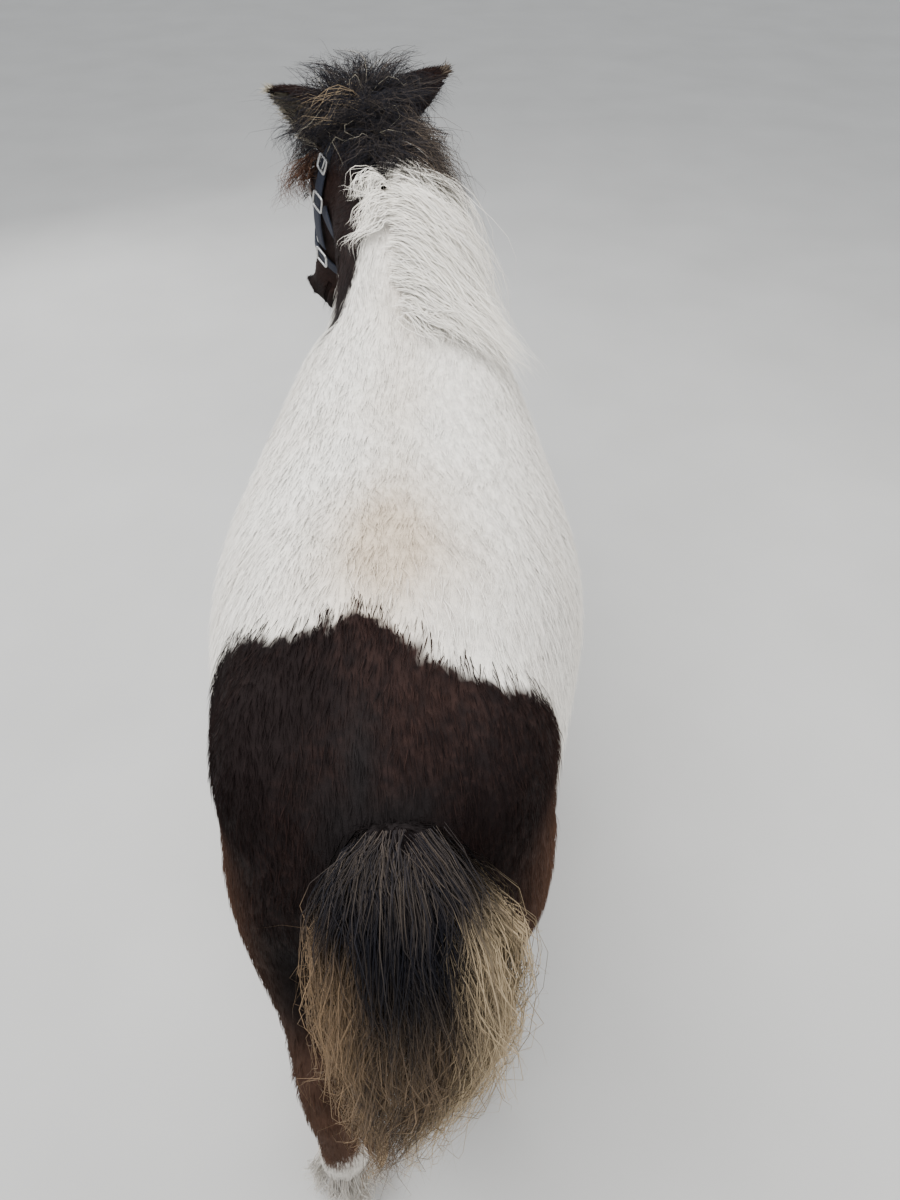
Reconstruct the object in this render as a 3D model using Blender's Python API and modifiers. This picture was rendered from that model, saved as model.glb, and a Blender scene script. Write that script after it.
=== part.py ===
"""A Shetland pony at life size, standing with its head turned to its left, as a museum's still model.

Metres, +Z up. The pony faces -Y and its left side is +X. The floor is Z = 0.
Places on the body are given as forward of the buttocks, up from the floor and left of the midline.
"""

import math
import random

import bmesh
import bpy
import numpy as np
from mathutils import Matrix, Vector
from mathutils.bvhtree import BVHTree

# Driving sizes of the animal, with its winter coat.
REAR_TO_ORIGIN = 0.622
GAP = 0.0003
HAIR_GAP = 0.0010
POLL = (1.150, 1.085, 0.056)
HEAD_YAW = math.radians(35)
HEAD_PITCH = math.radians(56)
HEAD_ROLL = math.radians(6)
EYE_RADIUS = 0.0185
EYE_PLACE = (0.122, 0.002)
EAR_LENGTH = 0.108
EAR_THICKNESS = 0.005
STRAP_WIDTH = 0.020
STRAP_THICKNESS = 0.0028
STRAP_CLEARANCE = 0.0024

# How finely the flesh is made.
VOXEL = 0.0080
HEAD_VOXEL = 0.0036
RING = 28
RINGS_PER_SPAN = 4
BODY_TRIANGLES = 3300
HEAD_TRIANGLES = 2500

# Torso stations: forward, top of the back, bottom of the belly, half width.
TORSO = (
    (0.012, 0.790, 0.630, 0.085),
    (0.045, 0.852, 0.575, 0.132),
    (0.110, 0.905, 0.535, 0.166),
    (0.200, 0.940, 0.510, 0.192),
    (0.280, 0.946, 0.488, 0.210),
    (0.360, 0.936, 0.462, 0.230),
    (0.450, 0.922, 0.436, 0.246),
    (0.540, 0.916, 0.420, 0.250),
    (0.620, 0.918, 0.416, 0.242),
    (0.700, 0.930, 0.422, 0.226),
    (0.780, 0.948, 0.436, 0.206),
    (0.860, 0.948, 0.458, 0.188),
    (0.930, 0.915, 0.505, 0.168),
    (0.985, 0.860, 0.565, 0.140),
    (1.025, 0.790, 0.630, 0.095),
)
TORSO_WIDEST = 0.47

# Neck stations: crest forward and up, throat side forward and up, left of the midline, half width.
NECK = (
    (0.690, 0.900, 1.000, 0.550, 0.000, 0.165),
    (0.785, 0.952, 1.040, 0.635, 0.000, 0.145),
    (0.875, 0.996, 1.058, 0.712, 0.004, 0.124),
    (0.965, 1.038, 1.072, 0.778, 0.014, 0.108),
    (1.050, 1.072, 1.086, 0.840, 0.030, 0.096),
    (1.120, 1.092, 1.104, 0.902, 0.046, 0.086),
)

# Head stations in the head's frame: along from the poll, top, bottom, half width.
HEAD = (
    (-0.030, 0.008, -0.085, 0.058),
    (0.000, 0.030, -0.118, 0.076),
    (0.048, 0.046, -0.148, 0.088),
    (0.096, 0.052, -0.158, 0.093),
    (0.144, 0.048, -0.150, 0.089),
    (0.192, 0.034, -0.132, 0.077),
    (0.240, 0.020, -0.112, 0.065),
    (0.288, 0.011, -0.097, 0.057),
    (0.330, 0.004, -0.088, 0.053),
    (0.362, -0.006, -0.080, 0.047),
    (0.382, -0.024, -0.068, 0.032),
)
# Leg stations: forward, up, left, half length fore and aft, half width.
FORELEG = (
    (0.845, 0.640, 0.104, 0.110, 0.078),
    (0.828, 0.560, 0.108, 0.098, 0.072),
    (0.818, 0.480, 0.110, 0.078, 0.063),
    (0.815, 0.410, 0.110, 0.061, 0.054),
    (0.818, 0.350, 0.109, 0.050, 0.046),
    (0.826, 0.300, 0.108, 0.046, 0.043),
    (0.826, 0.262, 0.108, 0.040, 0.038),
    (0.820, 0.205, 0.107, 0.034, 0.032),
    (0.817, 0.155, 0.106, 0.035, 0.033),
    (0.819, 0.118, 0.105, 0.041, 0.038),
    (0.832, 0.082, 0.105, 0.038, 0.037),
    (0.846, 0.048, 0.105, 0.043, 0.042),
    (0.854, 0.015, 0.105, 0.046, 0.045),
)
HINDLEG = (
    (0.198, 0.700, 0.102, 0.178, 0.082),
    (0.196, 0.620, 0.110, 0.168, 0.080),
    (0.190, 0.550, 0.116, 0.145, 0.074),
    (0.170, 0.490, 0.116, 0.116, 0.065),
    (0.140, 0.430, 0.113, 0.082, 0.054),
    (0.104, 0.385, 0.109, 0.061, 0.046),
    (0.076, 0.350, 0.106, 0.053, 0.041),
    (0.064, 0.310, 0.104, 0.046, 0.038),
    (0.061, 0.250, 0.102, 0.037, 0.033),
    (0.060, 0.185, 0.100, 0.035, 0.032),
    (0.062, 0.130, 0.099, 0.041, 0.038),
    (0.078, 0.088, 0.099, 0.038, 0.037),
    (0.093, 0.048, 0.099, 0.044, 0.043),
    (0.101, 0.015, 0.099, 0.047, 0.046),
)
# Each leg: its stations, its side, its step forward, and how far inwards its foot stands.
LEGS = {
    "leg_front_left": (FORELEG, 1, 0.010, 0.004),
    "leg_front_right": (FORELEG, -1, -0.022, 0.006),
    "leg_hind_left": (HINDLEG, 1, -0.060, 0.022),
    "leg_hind_right": (HINDLEG, -1, 0.055, 0.032),
}
FORELEG_TOP = 0.425
HINDLEG_TOP = 0.462
CORONET_FRONT = 0.062
CORONET_BACK = 0.036
SOLE = (0.052, 0.047)

HOOF_SIDES = 16
# Hoof rows: up, shift forward of the sole's middle, half length and half width.
HOOF_ROWS = ((0.0, 0.0, 0.052, 0.047), (0.030, -0.008, 0.046, 0.043), (0.075, -0.020, 0.038, 0.038))

# Face details, placed in the head's frame.
EYE_BULGE = 0.0065
LID_RADII = (0.0205, 0.0160)
LID_THICKNESS = 0.0046
BROW_RADII = (0.030, 0.011, 0.011)
BROW_RISE = 0.019
BROW_SINK = 0.0145
NOSTRIL = (0.346, -0.024, 0.030)
NOSTRIL_RIM = (0.0160, 0.0100)
NOSTRIL_RIM_THICKNESS = 0.0042
NOSTRIL_HOLE = (0.0135, 0.0072, 0.0130)
MOUTH_UP = -0.058
MOUTH_CORNER = 0.305
MOUTH_SWEEP = 98
MOUTH_DROP = 0.004
MOUTH_GROOVE = 0.0046

# Where the flesh is parted.
HEAD_CUT_PLACE = (0.052, -0.054, 0.0)
HEAD_CUT_LEAN = (0.745, 0.667)
THROAT_CUT = -0.170
NECK_BASE_PLACE = (0.925, 0.820)
NECK_BASE_LEAN = math.radians(38)

# Ears: root in the head's frame, the way they point and the way the cup opens, left ear then right.
EAR_ROOT = {1: (0.018, 0.026, 0.054), -1: (0.018, 0.026, -0.060)}
EAR_STEM = {1: (0.80, 0.12, 0.54), -1: (-0.82, -0.14, 0.52)}
EAR_OPENING = {1: (0.55, 0.72, -0.20), -1: (-0.45, -0.82, 0.0)}
EAR_BREADTH = 0.026
EAR_SINK = 0.020
EAR_ROWS = 6
EAR_COLUMNS = 6

# The halter.
NOSEBAND = 0.235
CHEEK_FOOT = 0.225
CHEEK_FOOT_UP = -0.046
CROWN_MIDDLE = (0.100, -0.018)
CROWN_SPAN = (-56, 236)
THROAT_MIDDLE = (0.116, -0.056)
THROAT_WAY = (-0.56, 0.83)
THROAT_SPAN = (166, 374)
STRAP_STEP = 0.017
FRAME_THICKNESS = 0.0032
FRAME_BAR = 0.0045
FRAME_LIFT = 0.0004
# Metal squares: name, place in the head's frame, the way they face, which way they stand, and their size.
FRAMES = (
    ("halter_square_left", (0.221, -0.050), (0, 0, 1), (1.0, -0.15), 0.031),
    ("halter_square_right", (0.221, -0.050), (0, 0, -1), (1.0, -0.15), 0.031),
    ("halter_square_chin", (0.240, -0.070), (0, -1, 0), (1.0, 0.0), 0.029),
    ("halter_cheek_square_left", (0.098, -0.030), (0, 0, 1), (1.0, -0.2), 0.030),
    ("halter_cheek_square_right", (0.098, -0.030), (0, 0, -1), (1.0, -0.2), 0.030),
    ("halter_buckle", (0.040, -0.010), (0, 0, 1), (1.0, -0.2), 0.027),
)
FACET_REACH = 0.010

# Hair grows in flat, tapered locks. Each row of them has its count, length, width, depth and height off the skin.
LOCK_SPREAD = 0.20
SEEDS = {"mane": 1, "forelock": 1, "feather": 1, "tail": 1}
LOCK_DETAIL = 0.66
LEAST_SHELL = 1e-9
MANE_SPAN = (1.0, 0.16)
MANE_ROWS = ((16, 0.250, 0.062, 0.016, 0.007), (15, 0.222, 0.058, 0.016, 0.018))
FORELOCK_ROOT = (-0.012, 0.034)
FORELOCK_ROWS = ((8, 0.150, 0.044, 0.014, 0.006, 1.35), (7, 0.145, 0.042, 0.015, 0.020, 0.95))
FEATHER_TOP = 0.112
FEATHER_SETBACK = 0.018
FEATHER_SWEEP = 2.1
FEATHER = (7, 0.088, 0.036, 0.012, 0.004)
TAIL_LOCKS = ((0.05, 14, 0.78), (0.20, 14, 0.90), (0.36, 13, 0.98))
TAIL_LOCK_SIZE = (0.053, 0.018)
TAIL_CORE_END = 0.5

# Tail stations: forward, up, left, width and depth fore and aft.
TAIL = (
    (0.085, 0.852, 0.000, 0.040, 0.036),
    (0.045, 0.846, 0.000, 0.062, 0.046),
    (0.006, 0.826, -0.012, 0.128, 0.066),
    (-0.022, 0.780, -0.024, 0.172, 0.082),
    (-0.038, 0.710, -0.026, 0.172, 0.086),
    (-0.044, 0.630, -0.016, 0.150, 0.080),
    (-0.047, 0.540, 0.002, 0.122, 0.070),
    (-0.050, 0.450, 0.022, 0.088, 0.056),
    (-0.052, 0.360, 0.036, 0.056, 0.040),
    (-0.052, 0.275, 0.044, 0.014, 0.012),
)

NODE_LOOKS = {"head": "dark_hair", "tail": "tail_hair"}
COLOURS = {
    "white_hair": ((0.75, 0.72, 0.66), 0.9, 0.0),
    "dark_hair": ((0.035, 0.025, 0.022), 0.85, 0.0),
    "tail_hair": ((0.16, 0.10, 0.06), 0.85, 0.0),
    "hoof_horn": ((0.42, 0.27, 0.14), 0.5, 0.0),
    "eyeball": ((0.012, 0.008, 0.007), 0.08, 0.0),
    "navy_webbing": ((0.018, 0.028, 0.062), 0.85, 0.0),
    "silver_metal": ((0.72, 0.72, 0.70), 0.3, 1.0),
}


def at(forward, up, left=0.0):
    """The point this far forward of the buttocks, up from the floor and left of the midline."""
    return Vector((left, REAR_TO_ORIGIN - forward, up))


def head_frame():
    """The head's axes in the world: along to the muzzle, left, and dorsal, out of the forehead."""
    turn = Matrix.Rotation(HEAD_YAW, 3, "Z")
    along = Vector((0, -math.cos(HEAD_PITCH), -math.sin(HEAD_PITCH)))
    dorsal = Vector((0, -math.sin(HEAD_PITCH), math.cos(HEAD_PITCH)))
    left = Vector((1, 0, 0))
    roll = Matrix.Rotation(-HEAD_ROLL, 3, along)
    return turn @ along, turn @ roll @ left, turn @ roll @ dorsal


HEAD_ALONG, HEAD_LEFT, HEAD_UP = head_frame()
HEAD_AXES = (HEAD_ALONG, HEAD_UP, HEAD_LEFT)
FORWARD = Vector((0, -1, 0))
UP = Vector((0, 0, 1))
LEFT = Vector((1, 0, 0))
# A direction along which no two places of a mesh are level.
SORTING_WAY = Vector((0.5257, 0.7071, 0.4736))
BODY_AXES = (FORWARD, UP, LEFT)


def in_head(along, up, left=0.0):
    """A place on the head, in its own frame, as a point in the world."""
    return at(*POLL) + HEAD_ALONG * along + HEAD_UP * up + HEAD_LEFT * left


def tilted(axes, degrees):
    """Body axes with forward turned upwards by this angle."""
    turn = Matrix.Rotation(math.radians(-degrees), 3, "X")
    return tuple(turn @ axis for axis in axes)


def smooth_rows(rows, per_span):
    """Rows of numbers with more between them, on a curve through them all."""
    rows = np.array(rows, float)
    padded = np.vstack([2 * rows[0] - rows[1], rows, 2 * rows[-1] - rows[-2]])
    made = []
    for i in range(1, len(padded) - 2):
        a, b, c, d = padded[i - 1 : i + 3]
        for t in np.linspace(0, 1, per_span, endpoint=False):
            slope, bend, twist = c - a, 2 * a - 5 * b + 4 * c - d, 3 * b - a - 3 * c + d
            made.append(0.5 * (2 * b + slope * t + bend * t**2 + twist * t**3))
    made.append(padded[-2])
    return np.array(made)


def smooth_points(points, per_span):
    return [Vector(row) for row in smooth_rows([tuple(point) for point in points], per_span)]


def new_object(name, mesh, collection):
    thing = bpy.data.objects.new(name, mesh)
    collection.objects.link(thing)
    return thing


def object_from(name, bm, collection):
    bmesh.ops.recalc_face_normals(bm, faces=bm.faces)
    mesh = bpy.data.meshes.new(name)
    bm.to_mesh(mesh)
    bm.free()
    return new_object(name, mesh, collection)


def applied(thing, kind, **settings):
    """The object with one modifier made part of its mesh."""
    modifier = thing.modifiers.new(kind.lower(), kind)
    for key, value in settings.items():
        setattr(modifier, key, value)
    graph = bpy.context.evaluated_depsgraph_get()
    mesh = bpy.data.meshes.new_from_object(thing.evaluated_get(graph))
    thing.modifiers.clear()
    old = thing.data
    thing.data = mesh
    bpy.data.meshes.remove(old)
    return thing


def copy_of(thing, name, collection):
    return new_object(name, thing.data.copy(), collection)


def remove(thing):
    bpy.data.objects.remove(thing, do_unlink=True)


def triangle_count(thing):
    return sum(len(face.vertices) - 2 for face in thing.data.polygons)


def decimated(thing, triangles):
    applied(thing, "TRIANGULATE")
    return applied(thing, "DECIMATE", ratio=triangles / triangle_count(thing))


def add_rings(bm, rings, closed=False):
    """Faces between rows of points, each row a ring, with a flat fan on each end unless it closes on itself."""
    made = [[bm.verts.new(point) for point in ring] for ring in rings]
    pairs = list(zip(made, made[1:]))
    if closed:
        pairs.append((made[-1], made[0]))
    for low, high in pairs:
        for k in range(len(low)):
            n = (k + 1) % len(low)
            bm.faces.new((low[k], low[n], high[n], high[k]))
    if not closed:
        for row in (made[0], made[-1]):
            bm.faces.new(row)


def add_loft(bm, sections, ring=RING, power=2.25):
    """A closed tube through sections of (centre, side, up, half width, height above, height below)."""
    rings = []
    for centre, side, up, wide, above, below in sections:
        row = []
        for k in range(ring):
            angle = 2 * math.pi * k / ring
            c, s = math.cos(angle), math.sin(angle)
            across = wide * math.copysign(abs(c) ** (2 / power), c)
            rise = (above if s > 0 else below) * math.copysign(abs(s) ** (2 / power), s)
            row.append(centre + side * across + up * rise)
        rings.append(row)
    add_rings(bm, rings)


def add_ellipsoid(bm, centre, axes, radii, segments=24, rings=14):
    """An ellipsoid whose axes are given as three unit vectors."""
    turn = Matrix([axes[0] * radii[0], axes[1] * radii[1], axes[2] * radii[2]]).transposed().to_4x4()
    place = Matrix.Translation(centre) @ turn
    bmesh.ops.create_uvsphere(bm, u_segments=segments, v_segments=rings, radius=1, matrix=place)


def add_torus(bm, centre, axes, radii, thickness, around=24, section=8):
    """A round-section ring in the plane of the first two axes, with its own radius along each."""
    rings = []
    for i in range(around):
        angle = 2 * math.pi * i / around
        out = (axes[0] * math.cos(angle) * radii[0] + axes[1] * math.sin(angle) * radii[1])
        spoke = out.normalized()
        row = []
        for k in range(section):
            turn = 2 * math.pi * k / section
            row.append(centre + out + (spoke * math.cos(turn) + axes[2] * math.sin(turn)) * thickness)
        rings.append(row)
    add_rings(bm, rings, closed=True)


def add_strand(bm, points, widths, depths, normals, ring=4):
    """A tube through points, with flat oval sections whose short way lies along the normals."""
    rings = []
    for i, point in enumerate(points):
        ahead = points[min(i + 1, len(points) - 1)] - points[max(i - 1, 0)]
        side = ahead.cross(normals[i]).normalized()
        out = side.cross(ahead).normalized()
        row = []
        for k in range(ring):
            angle = 2 * math.pi * k / ring
            row.append(point + side * math.cos(angle) * widths[i] / 2 + out * math.sin(angle) * depths[i] / 2)
        rings.append(row)
    add_rings(bm, rings)


def tree_of(*things):
    """The surfaces of these solids together, for casting rays and finding nearest points."""
    points, faces = [], []
    for thing in things:
        first = len(points)
        points += [vertex.co.copy() for vertex in thing.data.vertices]
        thing.data.calc_loop_triangles()
        faces += [tuple(first + i for i in face.vertices) for face in thing.data.loop_triangles]
    return BVHTree.FromPolygons(points, faces)


def add_torso(bm):
    sections = []
    for forward, top, bottom, wide in smooth_rows(TORSO, RINGS_PER_SPAN):
        middle = bottom + TORSO_WIDEST * (top - bottom)
        sections.append((at(forward, middle), LEFT, UP, wide, top - middle, middle - bottom))
    add_loft(bm, sections)
    for side in (1, -1):
        add_ellipsoid(bm, at(0.200, 0.770, 0.098 * side), tilted(BODY_AXES, -25), (0.165, 0.125, 0.082))
        add_ellipsoid(bm, at(0.880, 0.700, 0.096 * side), tilted(BODY_AXES, -58), (0.230, 0.120, 0.082))


def add_neck(bm):
    sections = []
    for forward, up, under_forward, under_up, left, wide in smooth_rows(NECK, RINGS_PER_SPAN):
        crest, throat = at(forward, up, left), at(under_forward, under_up, left)
        middle = throat.lerp(crest, 0.46)
        axis = (crest - throat).normalized()
        sections.append((middle, LEFT, axis, wide, (crest - middle).length, (middle - throat).length))
    add_loft(bm, sections, power=2.1)


def add_head(bm):
    sections = []
    for along, top, bottom, wide in smooth_rows(HEAD, RINGS_PER_SPAN):
        middle = bottom + 0.58 * (top - bottom)
        sections.append((in_head(along, middle), HEAD_LEFT, HEAD_UP, wide, top - middle, middle - bottom))
    add_loft(bm, sections, power=2.2)
    for side in (1, -1):
        add_ellipsoid(bm, in_head(0.080, -0.082, 0.046 * side), HEAD_AXES, (0.088, 0.072, 0.042))
        add_ellipsoid(bm, in_head(0.348, -0.028, 0.028 * side), HEAD_AXES, (0.034, 0.026, 0.024))
    add_ellipsoid(bm, in_head(0.342, -0.034, 0), HEAD_AXES, (0.046, 0.036, 0.050))
    add_ellipsoid(bm, in_head(0.330, -0.080, 0), HEAD_AXES, (0.038, 0.022, 0.034))


def leg_rows(name):
    """The leg's stations with its own step, below the body."""
    rows, side, step, inwards = LEGS[name]
    top = rows[1][1]
    placed = []
    for forward, up, left, long, wide in rows:
        share = min(1.0, max(0.0, (top - up) / (top - 0.28)))
        placed.append((forward + step * share, up, (left - inwards * share) * side, long, wide))
    return placed


def add_leg(bm, name):
    sections = []
    for forward, up, left, long, wide in smooth_rows(leg_rows(name), RINGS_PER_SPAN):
        sections.append((at(forward, up, left), LEFT, FORWARD, wide, long, long))
    add_loft(bm, sections, ring=20, power=2.0)
    if "hind" in name:
        hock = leg_rows(name)[6]
        place = at(hock[0] - 0.034, hock[1] + 0.014, hock[2])
        add_ellipsoid(bm, place, tilted(BODY_AXES, 80), (0.042, 0.022, 0.022))


def weighted(thing, name, rule):
    """Gives each point of the mesh the weight that the rule works out from its place."""
    group = thing.vertex_groups.new(name=name)
    for vertex in thing.data.vertices:
        group.add([vertex.index], rule(vertex.co), "REPLACE")


def softness(place):
    """How far the surface is smoothed here: fully on the trunk, least on the legs and the head."""
    above_legs = min(1.0, max(0.0, (place.z - 0.36) / 0.12))
    along = (place - at(*POLL)).dot(HEAD_ALONG)
    off_head = min(1.0, max(0.0, (0.03 - along) / 0.10)) if place.y < at(1.03, 0).y else 1.0
    return 0.10 + 0.90 * min(above_legs, off_head)


def make_flesh(cutters):
    """The whole body as one closed surface."""
    bm = bmesh.new()
    add_torso(bm)
    add_neck(bm)
    add_head(bm)
    for name in LEGS:
        add_leg(bm, name)
    flesh = object_from("flesh", bm, cutters)
    applied(flesh, "REMESH", mode="VOXEL", voxel_size=VOXEL)
    weighted(flesh, "soft", softness)
    applied(flesh, "SMOOTH", factor=0.5, iterations=60, vertex_group="soft")
    return flesh


def eye_parts(flesh_tree, side):
    """Where one eye sits: the middle of its opening, the way it looks, and the ball's centre."""
    look = (HEAD_LEFT * side + HEAD_ALONG * 0.20 + HEAD_UP * 0.28).normalized()
    start = in_head(EYE_PLACE[0], EYE_PLACE[1], 0)
    opening = flesh_tree.ray_cast(start + look * 0.3, -look)[0]
    return opening, look, opening - look * (EYE_RADIUS - EYE_BULGE)


def facing(out, way):
    """Two directions in the surface that faces out: the one nearest to this way, and the one across it."""
    along = (way - out * way.dot(out)).normalized()
    return along, out.cross(along)


def lid_axes(look):
    """The opening's own axes: along the lids down to their inner corner, up across them, and outwards."""
    along, across = facing(look, HEAD_ALONG - HEAD_UP * 0.25)
    return along, across * math.copysign(1, across.dot(HEAD_UP)), look


def nostril_axes(out, side):
    along, across = facing(out, HEAD_UP * 0.9 - HEAD_ALONG * 0.5 + HEAD_LEFT * side * 0.2)
    return along, across, out


def nostril_place(flesh_tree, side):
    """The middle of a nostril on the surface, and the way that it opens."""
    out = (HEAD_LEFT * side * 0.80 + HEAD_ALONG * 0.60 + HEAD_UP * 0.20).normalized()
    start = in_head(NOSTRIL[0], NOSTRIL[1], NOSTRIL[2] * side)
    return flesh_tree.ray_cast(start + out * 0.2, -out)[0], out


def mouth_line(flesh_tree):
    """Points round the muzzle from one corner of the mouth to the other."""
    points = []
    for degrees in np.linspace(-MOUTH_SWEEP, MOUTH_SWEEP, 17):
        turn = math.radians(degrees)
        out = HEAD_ALONG * math.cos(turn) + HEAD_LEFT * math.sin(turn)
        start = in_head(MOUTH_CORNER, MOUTH_UP - MOUTH_DROP * (abs(degrees) / MOUTH_SWEEP) ** 2)
        points.append((flesh_tree.ray_cast(start + out * 0.2, -out)[0], out))
    return points


def make_head(flesh, cutters):
    """The head's own finer surface, with brows, lids, nostril rims and lips raised on it."""
    tree = tree_of(flesh)
    bm = bmesh.new()
    bm.from_mesh(flesh.data)
    behind = in_head(*HEAD_CUT_PLACE) - head_cut_way() * 0.03
    everything = bm.verts[:] + bm.edges[:] + bm.faces[:]
    cuts = bmesh.ops.bisect_plane(bm, geom=everything, plane_co=behind, plane_no=-head_cut_way(), clear_outer=True)
    rims = [edge for edge in cuts["geom_cut"] if isinstance(edge, bmesh.types.BMEdge)]
    bmesh.ops.contextual_create(bm, geom=rims)
    for side in (1, -1):
        opening, look, ball = eye_parts(tree, side)
        axes = lid_axes(look)
        add_torus(bm, opening, axes, LID_RADII, LID_THICKNESS)
        add_ellipsoid(bm, opening + axes[1] * BROW_RISE - look * BROW_SINK, axes, BROW_RADII)
        place, out = nostril_place(tree, side)
        add_torus(bm, place - out * 0.001, nostril_axes(out, side), NOSTRIL_RIM, NOSTRIL_RIM_THICKNESS)
    line = mouth_line(tree)
    for offset, inset in ((0.0085, 0.004), (-0.0085, 0.0045)):
        lip = [point + HEAD_UP * offset - out * inset for point, out in line[1:-1]]
        sizes = [0.015] * len(lip)
        add_strand(bm, lip, sizes, sizes, [HEAD_UP] * len(lip), ring=8)
    head = object_from("head", bm, cutters)
    applied(head, "REMESH", mode="VOXEL", voxel_size=HEAD_VOXEL)
    applied(head, "SMOOTH", factor=0.5, iterations=3)
    return head


def head_cut_way():
    """The direction across the plane that parts the head from the neck, towards the muzzle."""
    return (HEAD_ALONG * HEAD_CUT_LEAN[0] + HEAD_UP * HEAD_CUT_LEAN[1]).normalized()


def half_space(name, point, inward, cutters, size=3.0):
    """A large block that fills the side of a plane to which this direction points."""
    bm = bmesh.new()
    bmesh.ops.create_cube(bm, size=size)
    turn = inward.to_track_quat("Z", "Y").to_matrix().to_4x4()
    bmesh.ops.transform(bm, matrix=Matrix.Translation(point + inward.normalized() * size / 2) @ turn, verts=bm.verts)
    return as_cutter(object_from(name, bm, cutters))


def head_space(inset, cutters):
    """All that is in front of the plane behind the jaw and above the plane below it."""
    way = head_cut_way()
    space = half_space("head_space", in_head(*HEAD_CUT_PLACE) + way * inset, way, cutters)
    above = half_space("above_throat", in_head(0.2, THROAT_CUT) + HEAD_UP * inset, HEAD_UP, cutters, 2.0)
    return cut(space, above, "INTERSECT")


def as_cutter(thing):
    thing.hide_render = True
    thing.display_type = "WIRE"
    return thing


def in_order(thing):
    """Sorts a mesh's points, edges and faces by their places, so that what follows is the same on each run."""
    bm = bmesh.new()
    bm.from_mesh(thing.data)
    bm.verts.sort(key=lambda vertex: vertex.co.dot(SORTING_WAY))
    bm.edges.sort(key=lambda edge: (edge.verts[0].co + edge.verts[1].co).dot(SORTING_WAY))
    bm.faces.sort(key=lambda face: face.calc_center_median().dot(SORTING_WAY))
    bm.to_mesh(thing.data)
    bm.free()


def cut(thing, cutter, operation="DIFFERENCE", solver="EXACT", keep=False):
    """Cuts, or keeps what is shared, and removes the cutter."""
    applied(thing, "BOOLEAN", operation=operation, object=cutter, solver=solver)
    in_order(thing)
    if not keep:
        remove(cutter)
    return thing


def shells(bm):
    """The separate surfaces of a mesh, each as a list of its faces."""
    seen, found = set(), []
    for start in bm.faces:
        if start in seen:
            continue
        group, queue = [], [start]
        seen.add(start)
        while queue:
            face = queue.pop()
            group.append(face)
            for edge in face.edges:
                for other in edge.link_faces:
                    if other not in seen:
                        seen.add(other)
                        queue.append(other)
        found.append(group)
    return found


def volume(faces):
    """What a closed surface of triangles holds, which is negative for a hollow."""
    total = 0.0
    for face in faces:
        a, b, c = (vertex.co for vertex in face.verts)
        total += a.dot(b.cross(c)) / 6
    return total


def keep_shells(thing, wanted):
    """Triangulates a mesh and keeps only the surfaces that this rule picks from them all."""
    bm = bmesh.new()
    bm.from_mesh(thing.data)
    bmesh.ops.triangulate(bm, faces=bm.faces)
    found = shells(bm)
    kept = wanted(found)
    dropped = [face for group in found if group not in kept for face in group]
    bmesh.ops.delete(bm, geom=dropped, context="FACES")
    loose = [vertex for vertex in bm.verts if not vertex.link_faces]
    bmesh.ops.delete(bm, geom=loose, context="VERTS")
    bm.to_mesh(thing.data)
    bm.free()
    return thing


def largest_only(thing):
    """Keeps the largest closed surface of a mesh and drops the rest."""
    return keep_shells(thing, lambda found: [max(found, key=volume)])


def no_hollows(thing):
    """Drops the surfaces of hollows sealed inside a solid."""
    return keep_shells(thing, lambda found: [group for group in found if volume(group) > LEAST_SHELL])


def grown(thing, distance, name, cutters):
    """A copy of a solid, moved outwards along its own normals by a distance, to cut its neighbours clear of it."""
    bm = bmesh.new()
    bm.from_mesh(thing.data)
    bmesh.ops.triangulate(bm, faces=bm.faces)
    bm.normal_update()
    moves = {}
    for vertex in bm.verts:
        least = min((vertex.normal.dot(face.normal) for face in vertex.link_faces), default=1.0)
        moves[vertex] = vertex.normal * (distance / max(0.35, least))
    for vertex, move in moves.items():
        vertex.co += move
    return as_cutter(object_from(name, bm, cutters))


def clear_of(thing, neighbour, gap, cutters, solver="EXACT"):
    """Cuts a solid clear of its neighbour, by a copy grown by the gap and then by the neighbour's own shape."""
    cut(thing, grown(neighbour, gap, "room", cutters), solver=solver)
    return cut(thing, as_cutter(copy_of(neighbour, "own_room", cutters)), solver=solver)


def part_flesh(flesh, head, pony, cutters):
    """The named pieces of flesh, parted by thin plane cuts."""
    base_point = at(*NECK_BASE_PLACE)
    base_way = Vector((0, -math.cos(NECK_BASE_LEAN), math.sin(NECK_BASE_LEAN)))
    pieces = {"head": head}
    cut(head, head_space(GAP / 2, cutters), "INTERSECT")
    body = copy_of(flesh, "torso", pony)
    cut(body, head_space(-GAP / 2, cutters))
    neck = copy_of(body, "neck", pony)
    cut(neck, half_space("neck_side", base_point + base_way * GAP / 2, base_way, cutters), "INTERSECT")
    cut(body, half_space("neck_side", base_point - base_way * GAP / 2, base_way, cutters))
    pieces["neck"] = neck
    for name, (rows, side, step, inwards) in LEGS.items():
        top = FORELEG_TOP if "front" in name else HINDLEG_TOP
        span = (0.70, 1.00) if "front" in name else (-0.10, 0.42)
        leg = copy_of(body, name, pony)
        cut(leg, leg_box("leg_space", span, side, top - GAP / 2, cutters), "INTERSECT")
        cut(body, leg_box("leg_space", span, side, top + GAP / 2, cutters))
        cut(leg, half_space("hoof_side", *coronet(name, GAP / 2), cutters), "INTERSECT")
        pieces[name] = leg
    pieces["torso"] = body
    for piece in pieces.values():
        largest_only(piece)
    return pieces


def leg_box(name, span, side, top, cutters):
    """The space below the body that one leg stands in."""
    bm = bmesh.new()
    bmesh.ops.create_cube(bm, size=1.0)
    low, high = at(span[1], -0.5, 0.0), at(span[0], top, 0.40 * side)
    size = Vector((abs(high.x - low.x), high.y - low.y, high.z - low.z))
    bmesh.ops.scale(bm, vec=size, verts=bm.verts)
    bmesh.ops.translate(bm, vec=(low + high) / 2, verts=bm.verts)
    return as_cutter(object_from(name, bm, cutters))


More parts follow.
